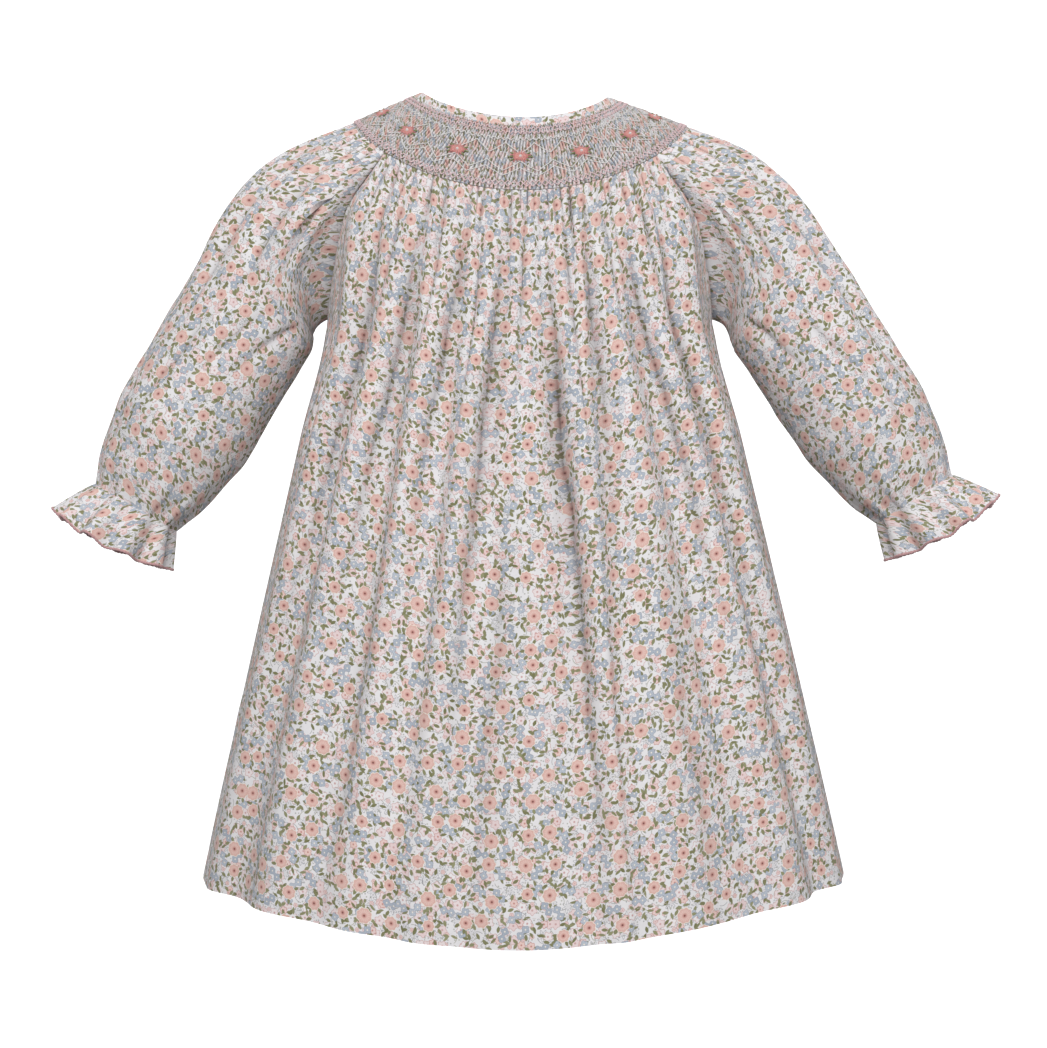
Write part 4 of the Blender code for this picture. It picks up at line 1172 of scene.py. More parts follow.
@dataclass(frozen=True)
class PrintedCotton:
    """Fine cotton lawn with a dense small flower print of the usual kind, in a scattered layout of its own."""

    name: str
    washed: float = 0.0
    seed: float = 0.0
    thread_pitch: float = 0.00042
    ground: tuple = srgb(224, 222, 223)
    cloud: tuple = srgb(214, 212, 215)
    coral: tuple = srgb(208, 168, 159)
    coral_light: tuple = srgb(221, 192, 184)
    halo: tuple = srgb(228, 220, 208)
    heart: tuple = srgb(190, 138, 130)
    brown: tuple = srgb(116, 70, 64)
    blush: tuple = srgb(219, 198, 198)
    rose: tuple = srgb(196, 160, 158)
    blue: tuple = srgb(162, 170, 182)
    blue_light: tuple = srgb(184, 191, 201)
    slate: tuple = srgb(138, 146, 160)
    olive: tuple = srgb(112, 112, 76)
    sage: tuple = srgb(140, 140, 106)
    grey: tuple = srgb(118, 120, 128)
    # Colour of the painted shade in the folds' valleys
    shade: tuple = srgb(62, 50, 48)

    def leaf(self, x: Amount, y: Amount, length: float, width: float) -> Amount:
        """A pointed leaf: as wide as one minus the square of the place along it."""
        along = x * (1 / length)
        edge = (along * along).sum_with("MULTIPLY_ADD", -width, width)
        return y.size().below(edge, 0.16)

    def blossom(self, far: Amount, angle: Amount, petals: int, size: Amount | float, lobe: float) -> Amount:
        """Round petals: the edge swings with the cosine of the angle times the number of petals."""
        swing = (angle * petals).cosine() * lobe
        return (far - swing).below(size, 0.18)

    def paint(self) -> bpy.types.Material:
        """The whole print, from the ground up, and painted shade in the folds' valleys over it.

        Returns:
            The material.
        """
        canvas = Canvas(self.name, 0.86)
        first = canvas.noise((60, 60))
        canvas.colour = canvas.mix(first, self.ground, self.cloud)
        self.sprigs(canvas)
        for blossom in self.small_blossoms():
            self.lay_blossom(canvas, blossom)
        self.leaves(canvas)
        self.blue_blossoms(canvas)
        self.coral_flowers(canvas)
        if self.washed:
            share = canvas.noise((40, 40)) * 0.2 + (self.washed - 0.1)
            canvas.paint(share, self.ground)
        # Painted shade: darkens the cloth by its valley attribute, in pleat gaps, gathers, creases and armpit folds.
        canvas.paint(canvas.attribute("valley") * 0.8, self.shade)
        return canvas.finish(self.weave(canvas), 0.00035, 0.12)

    def sprigs(self, canvas: Canvas) -> None:
        """Fine grey work: outlines of open daisies with rays inside, thin stems, and specks between."""
        spot = canvas.scatter(8.6, self.seed + 1.3)
        edge = (spot.far - (spot.angle * 7).cosine() * 0.8 - 2.2).size().below(0.17, 0.14)
        rays = spot.far.below(2.1, 0.5) * (spot.angle * 14).cosine().below(-0.35, 0.6) * 0.45
        canvas.paint(edge.sum_with("MAXIMUM", rays) * spot.luck.under(0.86) * 0.8, self.grey)
        stem = canvas.scatter(5.4, self.seed + 2.9)
        line = (stem.y - stem.x * stem.x * 0.14).size().below(0.14, 0.12) * stem.x.size().under(2.3)
        canvas.paint(line * stem.luck.under(0.8) * 0.8, self.grey, self.sage, stem.tint)
        speck = canvas.scatter(1.9, self.seed + 3.7, 1.0)
        canvas.paint(speck.far.below(0.40, 0.24) * speck.luck.under(0.42) * 0.6, self.grey, self.sage, speck.tint)

    def small_blossoms(self) -> list[Blossom]:
        """The kinds of small blossom, from the lowest layer up."""
        return [
            Blossom(5.2, 4.1, 0.52, 5, 1.15, 0.10, self.rose, self.blush, self.coral_light, 0.35),
            Blossom(7.2, 8.3, 0.80, 5, 2.35, 0.36, self.rose, self.blush, self.ground, 0.55),
            Blossom(10.4, 9.7, 0.62, 6, 2.00, 0.22, self.heart, self.coral_light, self.blush, 0.50),
        ]

    def lay_blossom(self, canvas: Canvas, kind: Blossom) -> None:
        """Lays one kind of small blossom: an outline, its petals in one of two colours, and a heart."""
        spot = canvas.scatter(kind.spacing, self.seed + kind.seed, 0.78)
        chosen = spot.luck.under(kind.chosen)
        canvas.paint(self.blossom(spot.far, spot.angle, kind.petals, kind.size, kind.lobe) * chosen, kind.edge)
        inner = self.blossom(spot.far, spot.angle, kind.petals, kind.size - 0.3, kind.lobe)
        canvas.paint(inner * chosen, kind.fill, kind.other, spot.tint)
        canvas.paint(spot.far.below(kind.heart, 0.2) * chosen, kind.edge)

    def leaves(self, canvas: Canvas) -> None:
        """Single leaves, and pairs on a stem: a pair is one leaf mirrored about its stem."""
        for spacing, seed, chosen in ((4.9, 5.7, 0.62), (7.6, 7.9, 0.55)):
            spot = canvas.scatter(spacing, self.seed + seed, 0.85)
            leaf = self.leaf(spot.x, spot.y, 1.75, 0.84)
            canvas.paint(leaf * spot.luck.under(chosen), self.olive, self.sage, spot.tint)
        pair = canvas.scatter(8.4, self.seed + 6.9, 0.75)
        x = pair.x.size() - 2.1
        y = pair.y - x * 0.55
        canvas.paint(self.leaf(x, y, 1.7, 0.82) * pair.luck.under(0.72), self.olive, self.sage, pair.tint)

    def blue_blossoms(self, canvas: Canvas) -> None:
        """Pairs of blue-grey blossoms with a slate rim: one blossom mirrored about the pair's middle."""
        spot = canvas.scatter(10.2, self.seed + 10.9, 0.75)
        chosen = spot.luck.under(0.66)
        x = spot.x.size() - 1.95
        far = (x * x + spot.y * spot.y).sum_with("SQRT")
        angle = spot.y.sum_with("ARCTAN2", x)
        canvas.paint(self.blossom(far, angle, 4, 1.95, 0.24) * chosen, self.slate)
        canvas.paint(self.blossom(far, angle, 4, 1.7, 0.24) * chosen, self.blue_light, self.blue, spot.tint)
        veins = far.below(1.5, 0.6) * (angle * 8).cosine().below(-0.3, 0.7) * 0.5
        canvas.paint(veins * chosen, self.slate)
        canvas.paint(far.below(0.4, 0.2) * chosen, self.halo)

    def coral_flowers(self, canvas: Canvas) -> None:
        """The largest flowers: ruffled rounds with a pale ring and a brown heart, and leaves beside them."""
        spot = canvas.scatter(16.2, self.seed + 12.7, 0.62)
        chosen = spot.luck.under(0.93)
        third = 2 * math.pi / 3
        around = (spot.angle * (1 / third)).sum_with("FRACT") * third - third / 2
        size = spot.tint * 1.0 + 2.75
        x = spot.far * around.cosine() - size - 1.2
        y = spot.far * around.sum_with("SINE")
        canvas.paint(self.leaf(x, y, 1.6, 0.8) * chosen, self.olive, self.sage, spot.tint)
        canvas.paint(self.blossom(spot.far, spot.angle, 8, size + 0.3, 0.22) * chosen, self.halo)
        canvas.paint(self.blossom(spot.far, spot.angle, 8, size, 0.22) * chosen, self.coral)
        streak = (spot.angle * 16).cosine() * 0.35 + 0.5
        canvas.paint(spot.far.below(size - 0.7, 0.8) * chosen * streak, self.coral_light)
        canvas.paint(spot.far.below(1.45, 0.3) * chosen, self.coral)
        canvas.paint(spot.far.below(1.05, 0.4) * chosen * 0.8, self.heart)
        canvas.paint(spot.far.below(0.5, 0.25) * chosen, self.brown)

    def weave(self, canvas: Canvas) -> Amount:
        """Plain weave: threads over and under each other, slubs, and soft crumples."""
        split = canvas.tree.nodes.new("ShaderNodeSeparateXYZ")
        canvas.tree.links.new(canvas.place, split.inputs[0])
        turns = 2 * math.pi / self.thread_pitch
        across = (Amount(canvas.tree, split.outputs[0]) * turns).cosine()
        down = (Amount(canvas.tree, split.outputs[1]) * turns).cosine()
        threads = across * down * 0.06
        slubs = canvas.noise((2500, 500), 1) * 0.12
        crumples = canvas.noise((95, 40), 3) * 1.9
        return threads + slubs + crumples


@dataclass(frozen=True)
class Thread:
    """Stranded cotton: ply lines that wind round the thread, with painted shade between them."""

    name: str
    colour: tuple
    # Colour of the painted shade between the strands, and the darker end of the thread's random tone
    shade: tuple
    pitch: float = 0.0011

    def paint(self) -> bpy.types.Material:
        """The thread's colour, with painted shade between its strands, and their relief.

        Returns:
            The material.
        """
        canvas = Canvas(self.name, 0.62)
        split = canvas.tree.nodes.new("ShaderNodeSeparateXYZ")
        canvas.tree.links.new(canvas.place, split.inputs[0])
        along = Amount(canvas.tree, split.outputs[0]) * (2 * math.pi / self.pitch)
        around = Amount(canvas.tree, split.outputs[1]) * (2 * math.pi * 2)
        ply = (along + around).cosine() * 0.5 + 0.5
        tone = canvas.noise((900, 3)) * 0.5
        # Partly painted shade between the strands, partly a random change of tone along the thread.
        canvas.colour = canvas.mix(ply * 0.5 + tone, self.shade, self.colour)
        return canvas.finish(ply, 0.00012, 0.2)


@dataclass(frozen=True)
class Pearl:
    """Pale pearly button stuff, with soft clouds in it."""

    name: str = "pearl_button"

    def paint(self) -> bpy.types.Material:
        """A coated, slightly clouded pale finish.

        Returns:
            The material.
        """
        canvas = Canvas(self.name, 0.3)
        canvas.colour = canvas.mix(canvas.noise((260, 260), 3), srgb(240, 234, 226), srgb(214, 204, 198))
        canvas.shader.inputs["Coat Weight"].default_value = 0.4
        canvas.shader.inputs["Coat Roughness"].default_value = 0.15
        return canvas.finish(canvas.noise((700, 700)), 0.00006, 0.0)


@dataclass
class Finishes:
    """All the finishes, painted once."""

    cotton: bpy.types.Material = None
    reverse: bpy.types.Material = None
    white: bpy.types.Material = None
    pink: bpy.types.Material = None
    coral: bpy.types.Material = None
    salmon: bpy.types.Material = None
    green: bpy.types.Material = None
    edge: bpy.types.Material = None
    sewing: bpy.types.Material = None
    pearl: bpy.types.Material = None

    def __post_init__(self) -> None:
        """Paints them."""
        self.cotton = PrintedCotton("printed_cotton").paint()
        self.reverse = PrintedCotton("printed_cotton_reverse", washed=0.55).paint()
        self.white = Thread("white_stranded_cotton", srgb(226, 224, 222), srgb(204, 200, 198)).paint()
        self.pink = Thread("pale_pink_stranded_cotton", srgb(228, 204, 206), srgb(206, 174, 178)).paint()
        self.coral = Thread("coral_stranded_cotton", srgb(208, 140, 136), srgb(182, 112, 108)).paint()
        self.salmon = Thread("salmon_stranded_cotton", srgb(216, 158, 150), srgb(192, 126, 120)).paint()
        self.green = Thread("green_stranded_cotton", srgb(136, 140, 92), srgb(104, 108, 66)).paint()
        self.edge = Thread("dusty_pink_overlock", srgb(202, 160, 160), srgb(168, 124, 126), 0.0009).paint()
        self.sewing = Thread("sewing_thread", srgb(226, 214, 210), srgb(190, 176, 172)).paint()
        self.pearl = Pearl().paint()


def settle(piece: bpy.types.Object, slot: str, *nodes: str) -> bpy.types.Object:
    """Lets a piece ride on the dress and hides the solids that it stands for.

    Args:
        piece: The piece.
        slot: Not used.
        nodes: The solids that it replaces.

    Returns:
        The piece.
    """
    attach(piece, "root")
    if nodes:
        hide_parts(*nodes)
    LOG.info("%s: %d faces", piece.name, len(piece.data.polygons))
    return piece


# Sub-assemblies


@dataclass
class SmockedYoke:
    """The smocked band: fine pleats, rows of stitches and embroidered flowers."""

    finishes: Finishes
    form: YokeForm = YokeForm()
    pleats: int = 256
    columns_per_pleat: int = 6
    rows: int = 22
    lean: float = 12
    relief: float = 0.00120
    thickness: float = 0.0006
    base: float = 0.0003
    plain_back: float = 0.010
    print_squeeze: float = 2.6
    thread: float = 0.00027
    flower_pitch: float = math.radians(26.2)

    def plainness(self, points: Array) -> Array:
        """1 where the yoke is pleated, 0 beside the back opening."""
        behind = smooth_step((np.abs(points[..., 0]) - self.plain_back) / 0.006)
        return np.where(points[..., 1] > 0, behind, 1)

    def height(self, phi: Array, down: Array, points: Array) -> tuple[Array, Array]:
        """Height of the pleats: round ridges with sharp valleys between, that sway a little from row to row.

        Args:
            phi: Angles round the neck.
            down: Shares of the way down the band.
            points: The band's middle surface there.

        Returns:
            Height above the plain band, and the painted shade in the pleats' valleys and under the binding.
        """
        sway = 0.55 * np.sin(down * 21 + 1.3 * drift(phi * 5, 2.0)) + 0.5 * drift(phi * 9 + down * 4, 0.7)
        phase = self.pleats * phi / 2 + sway + self.lean * down
        ridge = np.abs(np.cos(phase)) ** 0.8
        flatter = 1 - 0.35 * np.abs(np.sin(phi)) ** 6
        uneven = 1 + 0.18 * drift(phi * 41 + down * 7, 3.3)
        ends = 0.45 + 0.55 * smooth_step(np.minimum(down - 0.08, 1.02 - down) / 0.10)
        plainness = self.plainness(points)
        # Painted shadow that the neck binding casts on the pleats below it.
        binding_shadow = np.exp(-(((down - 0.148) / 0.014) ** 2))
        # Painted shade in the valleys between the pleats, and the binding's painted shadow.
        deep = np.maximum((1 - ridge) ** 0.9 * plainness, 0.8 * binding_shadow)
        return self.relief * ridge * flatter * uneven * ends * plainness, deep

    def build_cloth(self) -> bpy.types.Object:
        """The pleated cloth itself, open down the middle of the back.

        Returns:
            The piece.
        """
        columns = self.pleats * self.columns_per_pleat
        phi = np.linspace(-math.pi, math.pi, columns + 1)[None, :]
        down = np.linspace(0.05, 1.0, self.rows + 1)[:, None]
        grid = self.form.surface(phi, down)
        normals = self.form.normals(phi, down)
        cloth = cloth_map(grid, False, 0.5, self.print_squeeze)
        # valley is the painted shade of the pleats' gaps and the binding's shadow.
        height, valley = self.height(phi, down, grid)
        lifted = grid + normals * (self.base + height)[..., None]
        lifted[:, 0, 0] -= 0.0002
        lifted[:, -1, 0] += 0.0002
        cotton = [self.finishes.cotton, self.finishes.reverse]
        piece = make_shell("yoke_cloth", lifted, normals, self.thickness, cloth, False, cotton, valley)
        settle(piece, "smocked_cotton", "smocked_yoke")
        return piece

    def on_top(self, phi: Array, down: Array, above: float) -> tuple[Array, Array]:
        """Points on the pleats' tops, moved out, and the normals there."""
        grid = self.form.surface(phi, down)
        normals = self.form.normals(phi, down)
        flatter = 1 - 0.35 * np.abs(np.sin(phi)) ** 6
        top = self.base + self.thickness / 2 + self.relief * flatter * self.plainness(grid)
        return grid + normals * (top + above)[..., None], normals

    def build_stitch_rows(self) -> list[bpy.types.Object]:
        """Rows of wave stitches: the thread swings up and down between two lines as it goes round.

        Returns:
            One piece for each colour of thread.
        """
        trellis = 2 * math.pi / self.flower_pitch * 2
        rows = table(
            "down swing count phase pink",
            (0.180, 0.020, 150, 0.00, 1),
            (0.235, 0.020, 150, 0.50, 1),
            (0.330, 0.018, 120, 0.00, 0),
            (0.455, 0.075, trellis, 0.50, 0),
            (0.700, 0.070, trellis, 0.00, 0),
            (0.775, 0.060, trellis, 0.00, 0),
            (0.915, 0.022, 170, 0.00, 1),
            (0.955, 0.022, 170, 0.50, 1),
        )
        opening = math.radians(10)
        phi = np.linspace(-math.pi + opening, math.pi - opening, 1441)
        made = []
        for pink, name, finish in ((1, "pink", self.finishes.pink), (0, "white", self.finishes.white)):
            chosen = rows["pink"] == pink
            line, swing, count, phase = (rows[key][chosen][:, None] for key in ("down", "swing", "count", "phase"))
            turn = count * (phi / (2 * math.pi)) + phase
            zigzag = 4 * np.abs(turn - np.floor(turn + 0.5)) - 1
            down = line + swing * zigzag + 0.005 * drift(phi * 23, 1.0 + line * 9)
            paths, out = self.on_top(np.broadcast_to(phi, down.shape), down, self.thread * 0.35)
            piece = make_threads(f"smocking_stitches_{name}", paths, out, self.thread, finish)
            made.append(settle(piece, "smocked_cotton"))
        return made

    def build_flowers(self) -> list[bpy.types.Object]:
        """Embroidered flowers: two rings of straight stitches for petals, a knot, and leaf stitches beside.

        Returns:
            The petals, knots and leaves.
        """
        number = np.arange(-6, 7)
        phi = number * self.flower_pitch
        down = 0.565 + 0.04 * np.minimum(np.abs(phi) / math.radians(60), 1)
        centre, out = self.on_top(phi, down, 0.0)
        drop = self.form.slope(phi)
        aside = unit(np.cross(out, drop))
        made = []
        petals = self.rays(22, 0.0009, 0.0045, 0.55)
        inner = self.rays(13, 0.0006, 0.0030, 0.45)
        for name, rays, rise, wide, tall in (
            ("outer", petals, 0.00030, 1.12, 0.80),
            ("inner", inner, 0.00060, 1.0, 0.80),
        ):
            paths, normals = self.spread(centre, aside, drop, out, rays, wide, tall, rise)
            radius = 0.00036 * np.array([0.7, 1.0, 1.1, 0.9, 0.5])
            finish = self.finishes.coral if name == "outer" else self.finishes.salmon
            piece = make_threads(f"flower_petals_{name}", paths, normals, radius, finish)
            made.append(settle(piece, "smocked_cotton"))
        knot = self.rays(5, 0.0001, 0.0006, 0.0)
        paths, normals = self.spread(centre, aside, drop, out, knot, 1, 1, 0.0011)
        piece = make_threads("flower_knots", paths, normals, 0.00034, self.finishes.white)
        made.append(settle(piece, "smocked_cotton"))
        leaves = self.leaf_rays()
        paths, normals = self.spread(centre, aside, drop, out, leaves, 1, 1, 0.0003)
        radius = 0.00042 * np.array([0.6, 1.0, 1.1, 0.9, 0.45])
        piece = make_threads("flower_leaves", paths, normals, radius, self.finishes.green)
        made.append(settle(piece, "smocked_cotton"))
        return made

    def rays(self, count: int, near: float, far: float, uneven: float) -> Array:
        """Straight stitches round a middle: each a row of flat points from near to far."""
        turn = np.arange(count) * 2 * math.pi / count
        reach = far * (1 + uneven * 0.4 * np.cos(turn * 5 + 0.7))
        share = np.linspace(0, 1, 5)
        long = near + (reach[:, None] - near) * share
        return np.stack([long * np.cos(turn)[:, None], long * np.sin(turn)[:, None], np.sin(share * math.pi) + 0 * long], -1)

    def leaf_rays(self) -> Array:
        """Three leaf stitches on each side of a flower, fanned out."""
        fan = np.radians([-26, 2, 30, 154, 178, 206])
        far = np.array([0.0060, 0.0068, 0.0057, 0.0058, 0.0067, 0.0061])
        share = np.linspace(0, 1, 5)
        long = 0.0033 + (far[:, None] - 0.0033) * share
        return np.stack([long * np.cos(fan)[:, None], long * np.sin(fan)[:, None], np.sin(share * math.pi) + 0 * long], -1)

    def spread(
        self,
        centre: Array,
        aside: Array,
        drop: Array,
        out: Array,
        rays: Array,
        wide: float,
        tall: float,
        rise: float,
    ) -> tuple[Array, Array]:
        """Puts flat stitches round each flower's middle, on the yoke.

        Args:
            centre: The flowers' middles.
            aside: Unit directions across the band.
            drop: Unit directions down it.
            out: Its normals.
            rays: Flat points of the stitches: across, down, and how far each is raised.
            wide: Scale across.
            tall: Scale down.
            rise: How high the stitches' middles stand.

        Returns:
            The paths and their normals.
        """
        flat = rays[None]
        paths = (
            centre[:, None, None]
            + aside[:, None, None] * flat[..., :1] * wide
            + drop[:, None, None] * flat[..., 1:2] * tall
            + out[:, None, None] * (0.2 + 0.8 * flat[..., 2:]) * rise
        )
        normals = np.broadcast_to(out[:, None, None], paths.shape)
        shape = (-1, rays.shape[1], 3)
        return paths.reshape(shape), normals.reshape(shape)

    def build(self) -> None:
        """Builds the cloth, the stitches and the flowers."""
        self.build_cloth()
        self.build_stitch_rows()
        self.build_flowers()


@dataclass
class NeckBinding:
    """The strip folded over the neck edge: down the outside, round the top and down the inside."""

    finishes: Finishes
    form: YokeForm = YokeForm()
    width: float = 0.0064
    half_thickness: float = 0.0010
    cloth: float = 0.0005
    columns: int = 360

    def surface(self, phi: Array) -> tuple[Array, Array]:
        """The folded strip: a narrow U over the neck ring, a little uneven along it.

        Args:
            phi: Angles round the neck.

        Returns:
            The grid, its rows running along the strip, and its outward normals.
        """
        top = self.form.neck(phi)
        slope = self.form.slope(phi)
        out = self.form.normals(phi, np.zeros_like(phi))
        half = self.half_thickness * (1 + 0.12 * drift(phi * 14, 1.0))
        sides = np.linspace(1, 0, 9)[:-1]
        bend = np.linspace(0, math.pi, 9)
        puckers = 0.00012 * np.cos(phi * 120 + 2 * drift(phi * 7, 0.4))
        across = np.concatenate([np.ones(8), np.cos(bend), -np.ones(8)])
        along = np.concatenate([sides, 0 * bend, sides[::-1]])
        over = np.concatenate([0 * sides, np.sin(bend), 0 * sides])
        lower = self.width - self.half_thickness
        reach = along[:, None] * lower + (1 - over[:, None]) * half + 0.0
        full = half * across[:, None] * (1 + 0.2 * np.sin(along * math.pi))[:, None]
        full = full + puckers * along[:, None] * np.sign(across)[:, None]
        grid = top + slope * reach[..., None] + out * full[..., None]
        return grid, surface_normals(grid, False)

    def build(self) -> None:
        """Builds the strip and its line of stitches."""
        phi = np.linspace(-math.pi, math.pi, self.columns + 1)
        grid, normals = self.surface(phi)
        outward = np.sum(normals[0] * self.form.normals(phi, np.zeros_like(phi)))
        normals = normals * (1 if outward > 0 else -1)
        cloth = cloth_map(grid, False, 0.5)
        piece = make_shell("binding_cloth", grid, normals, self.cloth, cloth, False, [self.finishes.cotton])
        settle(piece, "print_cotton", "neck_binding")
        self.build_stitches()

    def build_stitches(self) -> None:
        """A line of small stitches near the strip's lower edge."""
        count = 116
        middle = np.linspace(-math.pi, math.pi, count, endpoint=False) + math.pi / count
        half = 0.62 * math.pi / count
        phi = middle[:, None] + half * np.linspace(-1, 1, 5)
        base = self.form.neck(phi) + self.form.slope(phi) * (self.width - 0.0009)
        out = self.form.normals(phi, np.zeros_like(phi))
        rise = self.half_thickness + self.cloth / 2 + 0.00006 * (1 - np.linspace(-1, 1, 5) ** 2)
        piece = make_threads("binding_stitches", base + out * rise[:, None], out, 0.00014, self.finishes.sewing)
        settle(piece, "print_cotton")


@dataclass
class BodyPanels:
    """The front and the two back halves, with their gathers, folds, creases, seams and hem."""

    finishes: Finishes
    form: BodyForm = BodyForm()
    times: int = 6
    rows: int = 122
    thickness: float = 0.0006
    gather_depth: float = 0.0021
    gather_length: float = 0.022
    hem_width: float = 0.014
    seam_depth: float = 0.0006
    plain_back: float = 0.009

    def relief(self, face: Face, grid: Array, across: Array, down: Array) -> tuple[Array, Array]:
        """Everything finer than the main folds: gathers below the yoke, creases, soft waves, seams and hem.

        Args:
            face: Front or back.
            grid: The panel's middle surface.
            across: Places across it.
            down: Shares of the way down.

        Returns:
            Height outwards, and the painted shade in the gathers' gaps and the creases' cores.
        """
        front = face is Face.FRONT
        below = run_along(grid, 0)
        above = below[-1:] - below
        inner = 1 - (self.form.raglan_share if front else self.form.back_raglan_share) * 2
        gathered = smooth_step((inner + 0.04 - np.abs(across)) / 0.10)
        plain = 1.0 if front else smooth_step((np.abs(grid[..., 0]) - self.plain_back) / 0.008)
        plain = plain if front else np.where(below < 0.07, plain, 1)
        place = (across / inner + 1) / 2
        count = 46 if front else 40
        small = gathers(place, below, count, self.gather_depth, self.gather_length, 0.3 if front else 5.1)
        creases, crease_shade = crease_depth(across, down, FRONT_CREASES if front else BACK_CREASES)
        off_seam = smooth_step(below / 0.006)
        off_side = smooth_step((1 - np.abs(across)) / 0.03)
        waves = 0.0005 * drift(across * 17 + down * 3, 1.1) * drift(down * 7 - across * 2, 2.4)
        puckers = 0.0004 * np.exp(-((below / 0.012) ** 2)) * np.cos(across * 190 + 3 * drift(across * 30, 2.2))
        puckers = puckers * (1 - gathered) * off_seam
        seam = -self.seam_depth * np.exp(-((below / 0.0018) ** 2)) * (1 - gathered)
        side_seam = -self.seam_depth * np.exp(-(((1 - np.abs(across)) / 0.006) ** 2))
        hem = -0.00022 * np.exp(-(((above - self.hem_width) / 0.0012) ** 2))
        lift = 0.0006 * np.exp(-((below / 0.006) ** 2)) * gathered
        fine = small * gathered * plain + lift - creases * off_seam * off_side
        height = fine + (waves + puckers) * off_seam * off_side + seam + side_seam + hem
        # Painted shade in the gaps between the gathers; the creases' cores add their own painted shade.
        gather_shade = np.clip(-small / self.gather_depth * gathered * plain - 0.3, 0, 1) ** 1.5
        return height, np.maximum(gather_shade, crease_shade * off_seam)

    def dress(self, face: Face, grid: Array, normals: Array, across: Array, down: Array) -> tuple[Array, Array]:
        """Adds the relief and the armpits' folds to a panel.

        Args:
            face: Front or back.
            grid: Its middle surface.
            normals: Its outward normals.
            across: Places across it.
            down: Shares of the way down.

        Returns:
            The finished surface, and the painted shade in its folds.
        """
        height, valley = self.relief(face, grid, across, down)
        share = self.form.raglan_share if face is Face.FRONT else self.form.back_raglan_share
        seam = np.clip((np.abs(across) - (1 - 2 * share)) / (2 * share), 0, 1)
        tuck, deep = armpit_tuck(grid[0], seam, run_along(grid, 0))
        # The painted shade of the gathers, creases and the armpit's fold.
        return grid + normals * height[..., None] + tuck, np.maximum(valley, deep)

    def build(self) -> tuple[Array, Array]:
        """Builds the three panels, with normals that agree along the side seams.

        Returns:
            The back's middle surface and its outward normals.
        """
        grids = {}
        for face, folds in ((Face.FRONT, FRONT_FOLDS), (Face.BACK, BACK_FOLDS)):
            grid, across, down = self.form.panel(face, folds, self.times, self.rows)
            grids[face] = (grid, cloth_map(grid, False, 0.5, 1 + 0.3 * (1 - smooth_step(down / 0.3))), across, down)
        front, back = grids[Face.FRONT][0], grids[Face.BACK][0]
        front_normals, back_normals = self.shared_normals(front, back)
        plain_back = back.copy()
        # Each panel comes with its painted shade for the folds.
        front, front_painted_shade = self.dress(Face.FRONT, front, front_normals, *grids[Face.FRONT][2:])
        back, back_painted_shade = self.dress(Face.BACK, back, back_normals, *grids[Face.BACK][2:])
        fine_front, fine_back = self.shared_normals(front, back)
        cotton = [self.finishes.cotton, self.finishes.reverse]
        cloth = grids[Face.FRONT][1]
        piece = make_shell("front_cloth", front, fine_front, self.thickness, cloth, False, cotton, front_painted_shade)
        settle(piece, "print_cotton", "front")
        middle = back.shape[1] // 2
        cloth = grids[Face.BACK][1]
        for name, part in (("back_right", slice(0, middle + 1)), ("back_left", slice(middle, None))):
            surface = (back[:, part], fine_back[:, part], self.thickness, cloth[:, part], False)
            piece = make_shell(f"{name}_cloth", *surface, cotton, back_painted_shade[:, part])
            settle(piece, "print_cotton", name)
        self.build_hem_stitches(front, fine_front, "front")
        self.build_hem_stitches(back, fine_back, "back")
        return plain_back, back_normals

    def shared_normals(self, front: Array, back: Array) -> tuple[Array, Array]:
        """Normals of both panels, taken round the whole body so that they agree at the sides."""
        hoop = np.concatenate([front, back[:, -2:0:-1]], 1)
        normals = surface_normals(hoop, True)
        count = front.shape[1]
        behind = np.concatenate([normals[:, count - 1 :], normals[:, :1]], 1)[:, ::-1]
        return normals[:, :count], behind

    def build_hem_stitches(self, grid: Array, normals: Array, name: str) -> None:
        """A line of hem stitches, read off the cloth one hem's width above its edge."""
        above = run_along(grid[::-1], 0)[::-1]
        row = int(np.argmin(np.abs(above[:, grid.shape[1] // 2] - self.hem_width)))
        line = grid[row] + normals[row] * (self.thickness / 2)
        run = run_along(line, 0)
        count = int(run[-1] / 0.0034)
        middle = (np.arange(count) + 0.5) * run[-1] / count
        at = middle[:, None] + np.linspace(-0.001, 0.001, 4)
        paths = np.stack([np.interp(at, run, line[:, i]) for i in range(3)], -1)
        out = np.stack([np.interp(at, run, normals[row, :, i]) for i in range(3)], -1)
        piece = make_threads(f"hem_stitches_{name}", paths, out, 0.00012, self.finishes.sewing)
        settle(piece, "print_cotton")


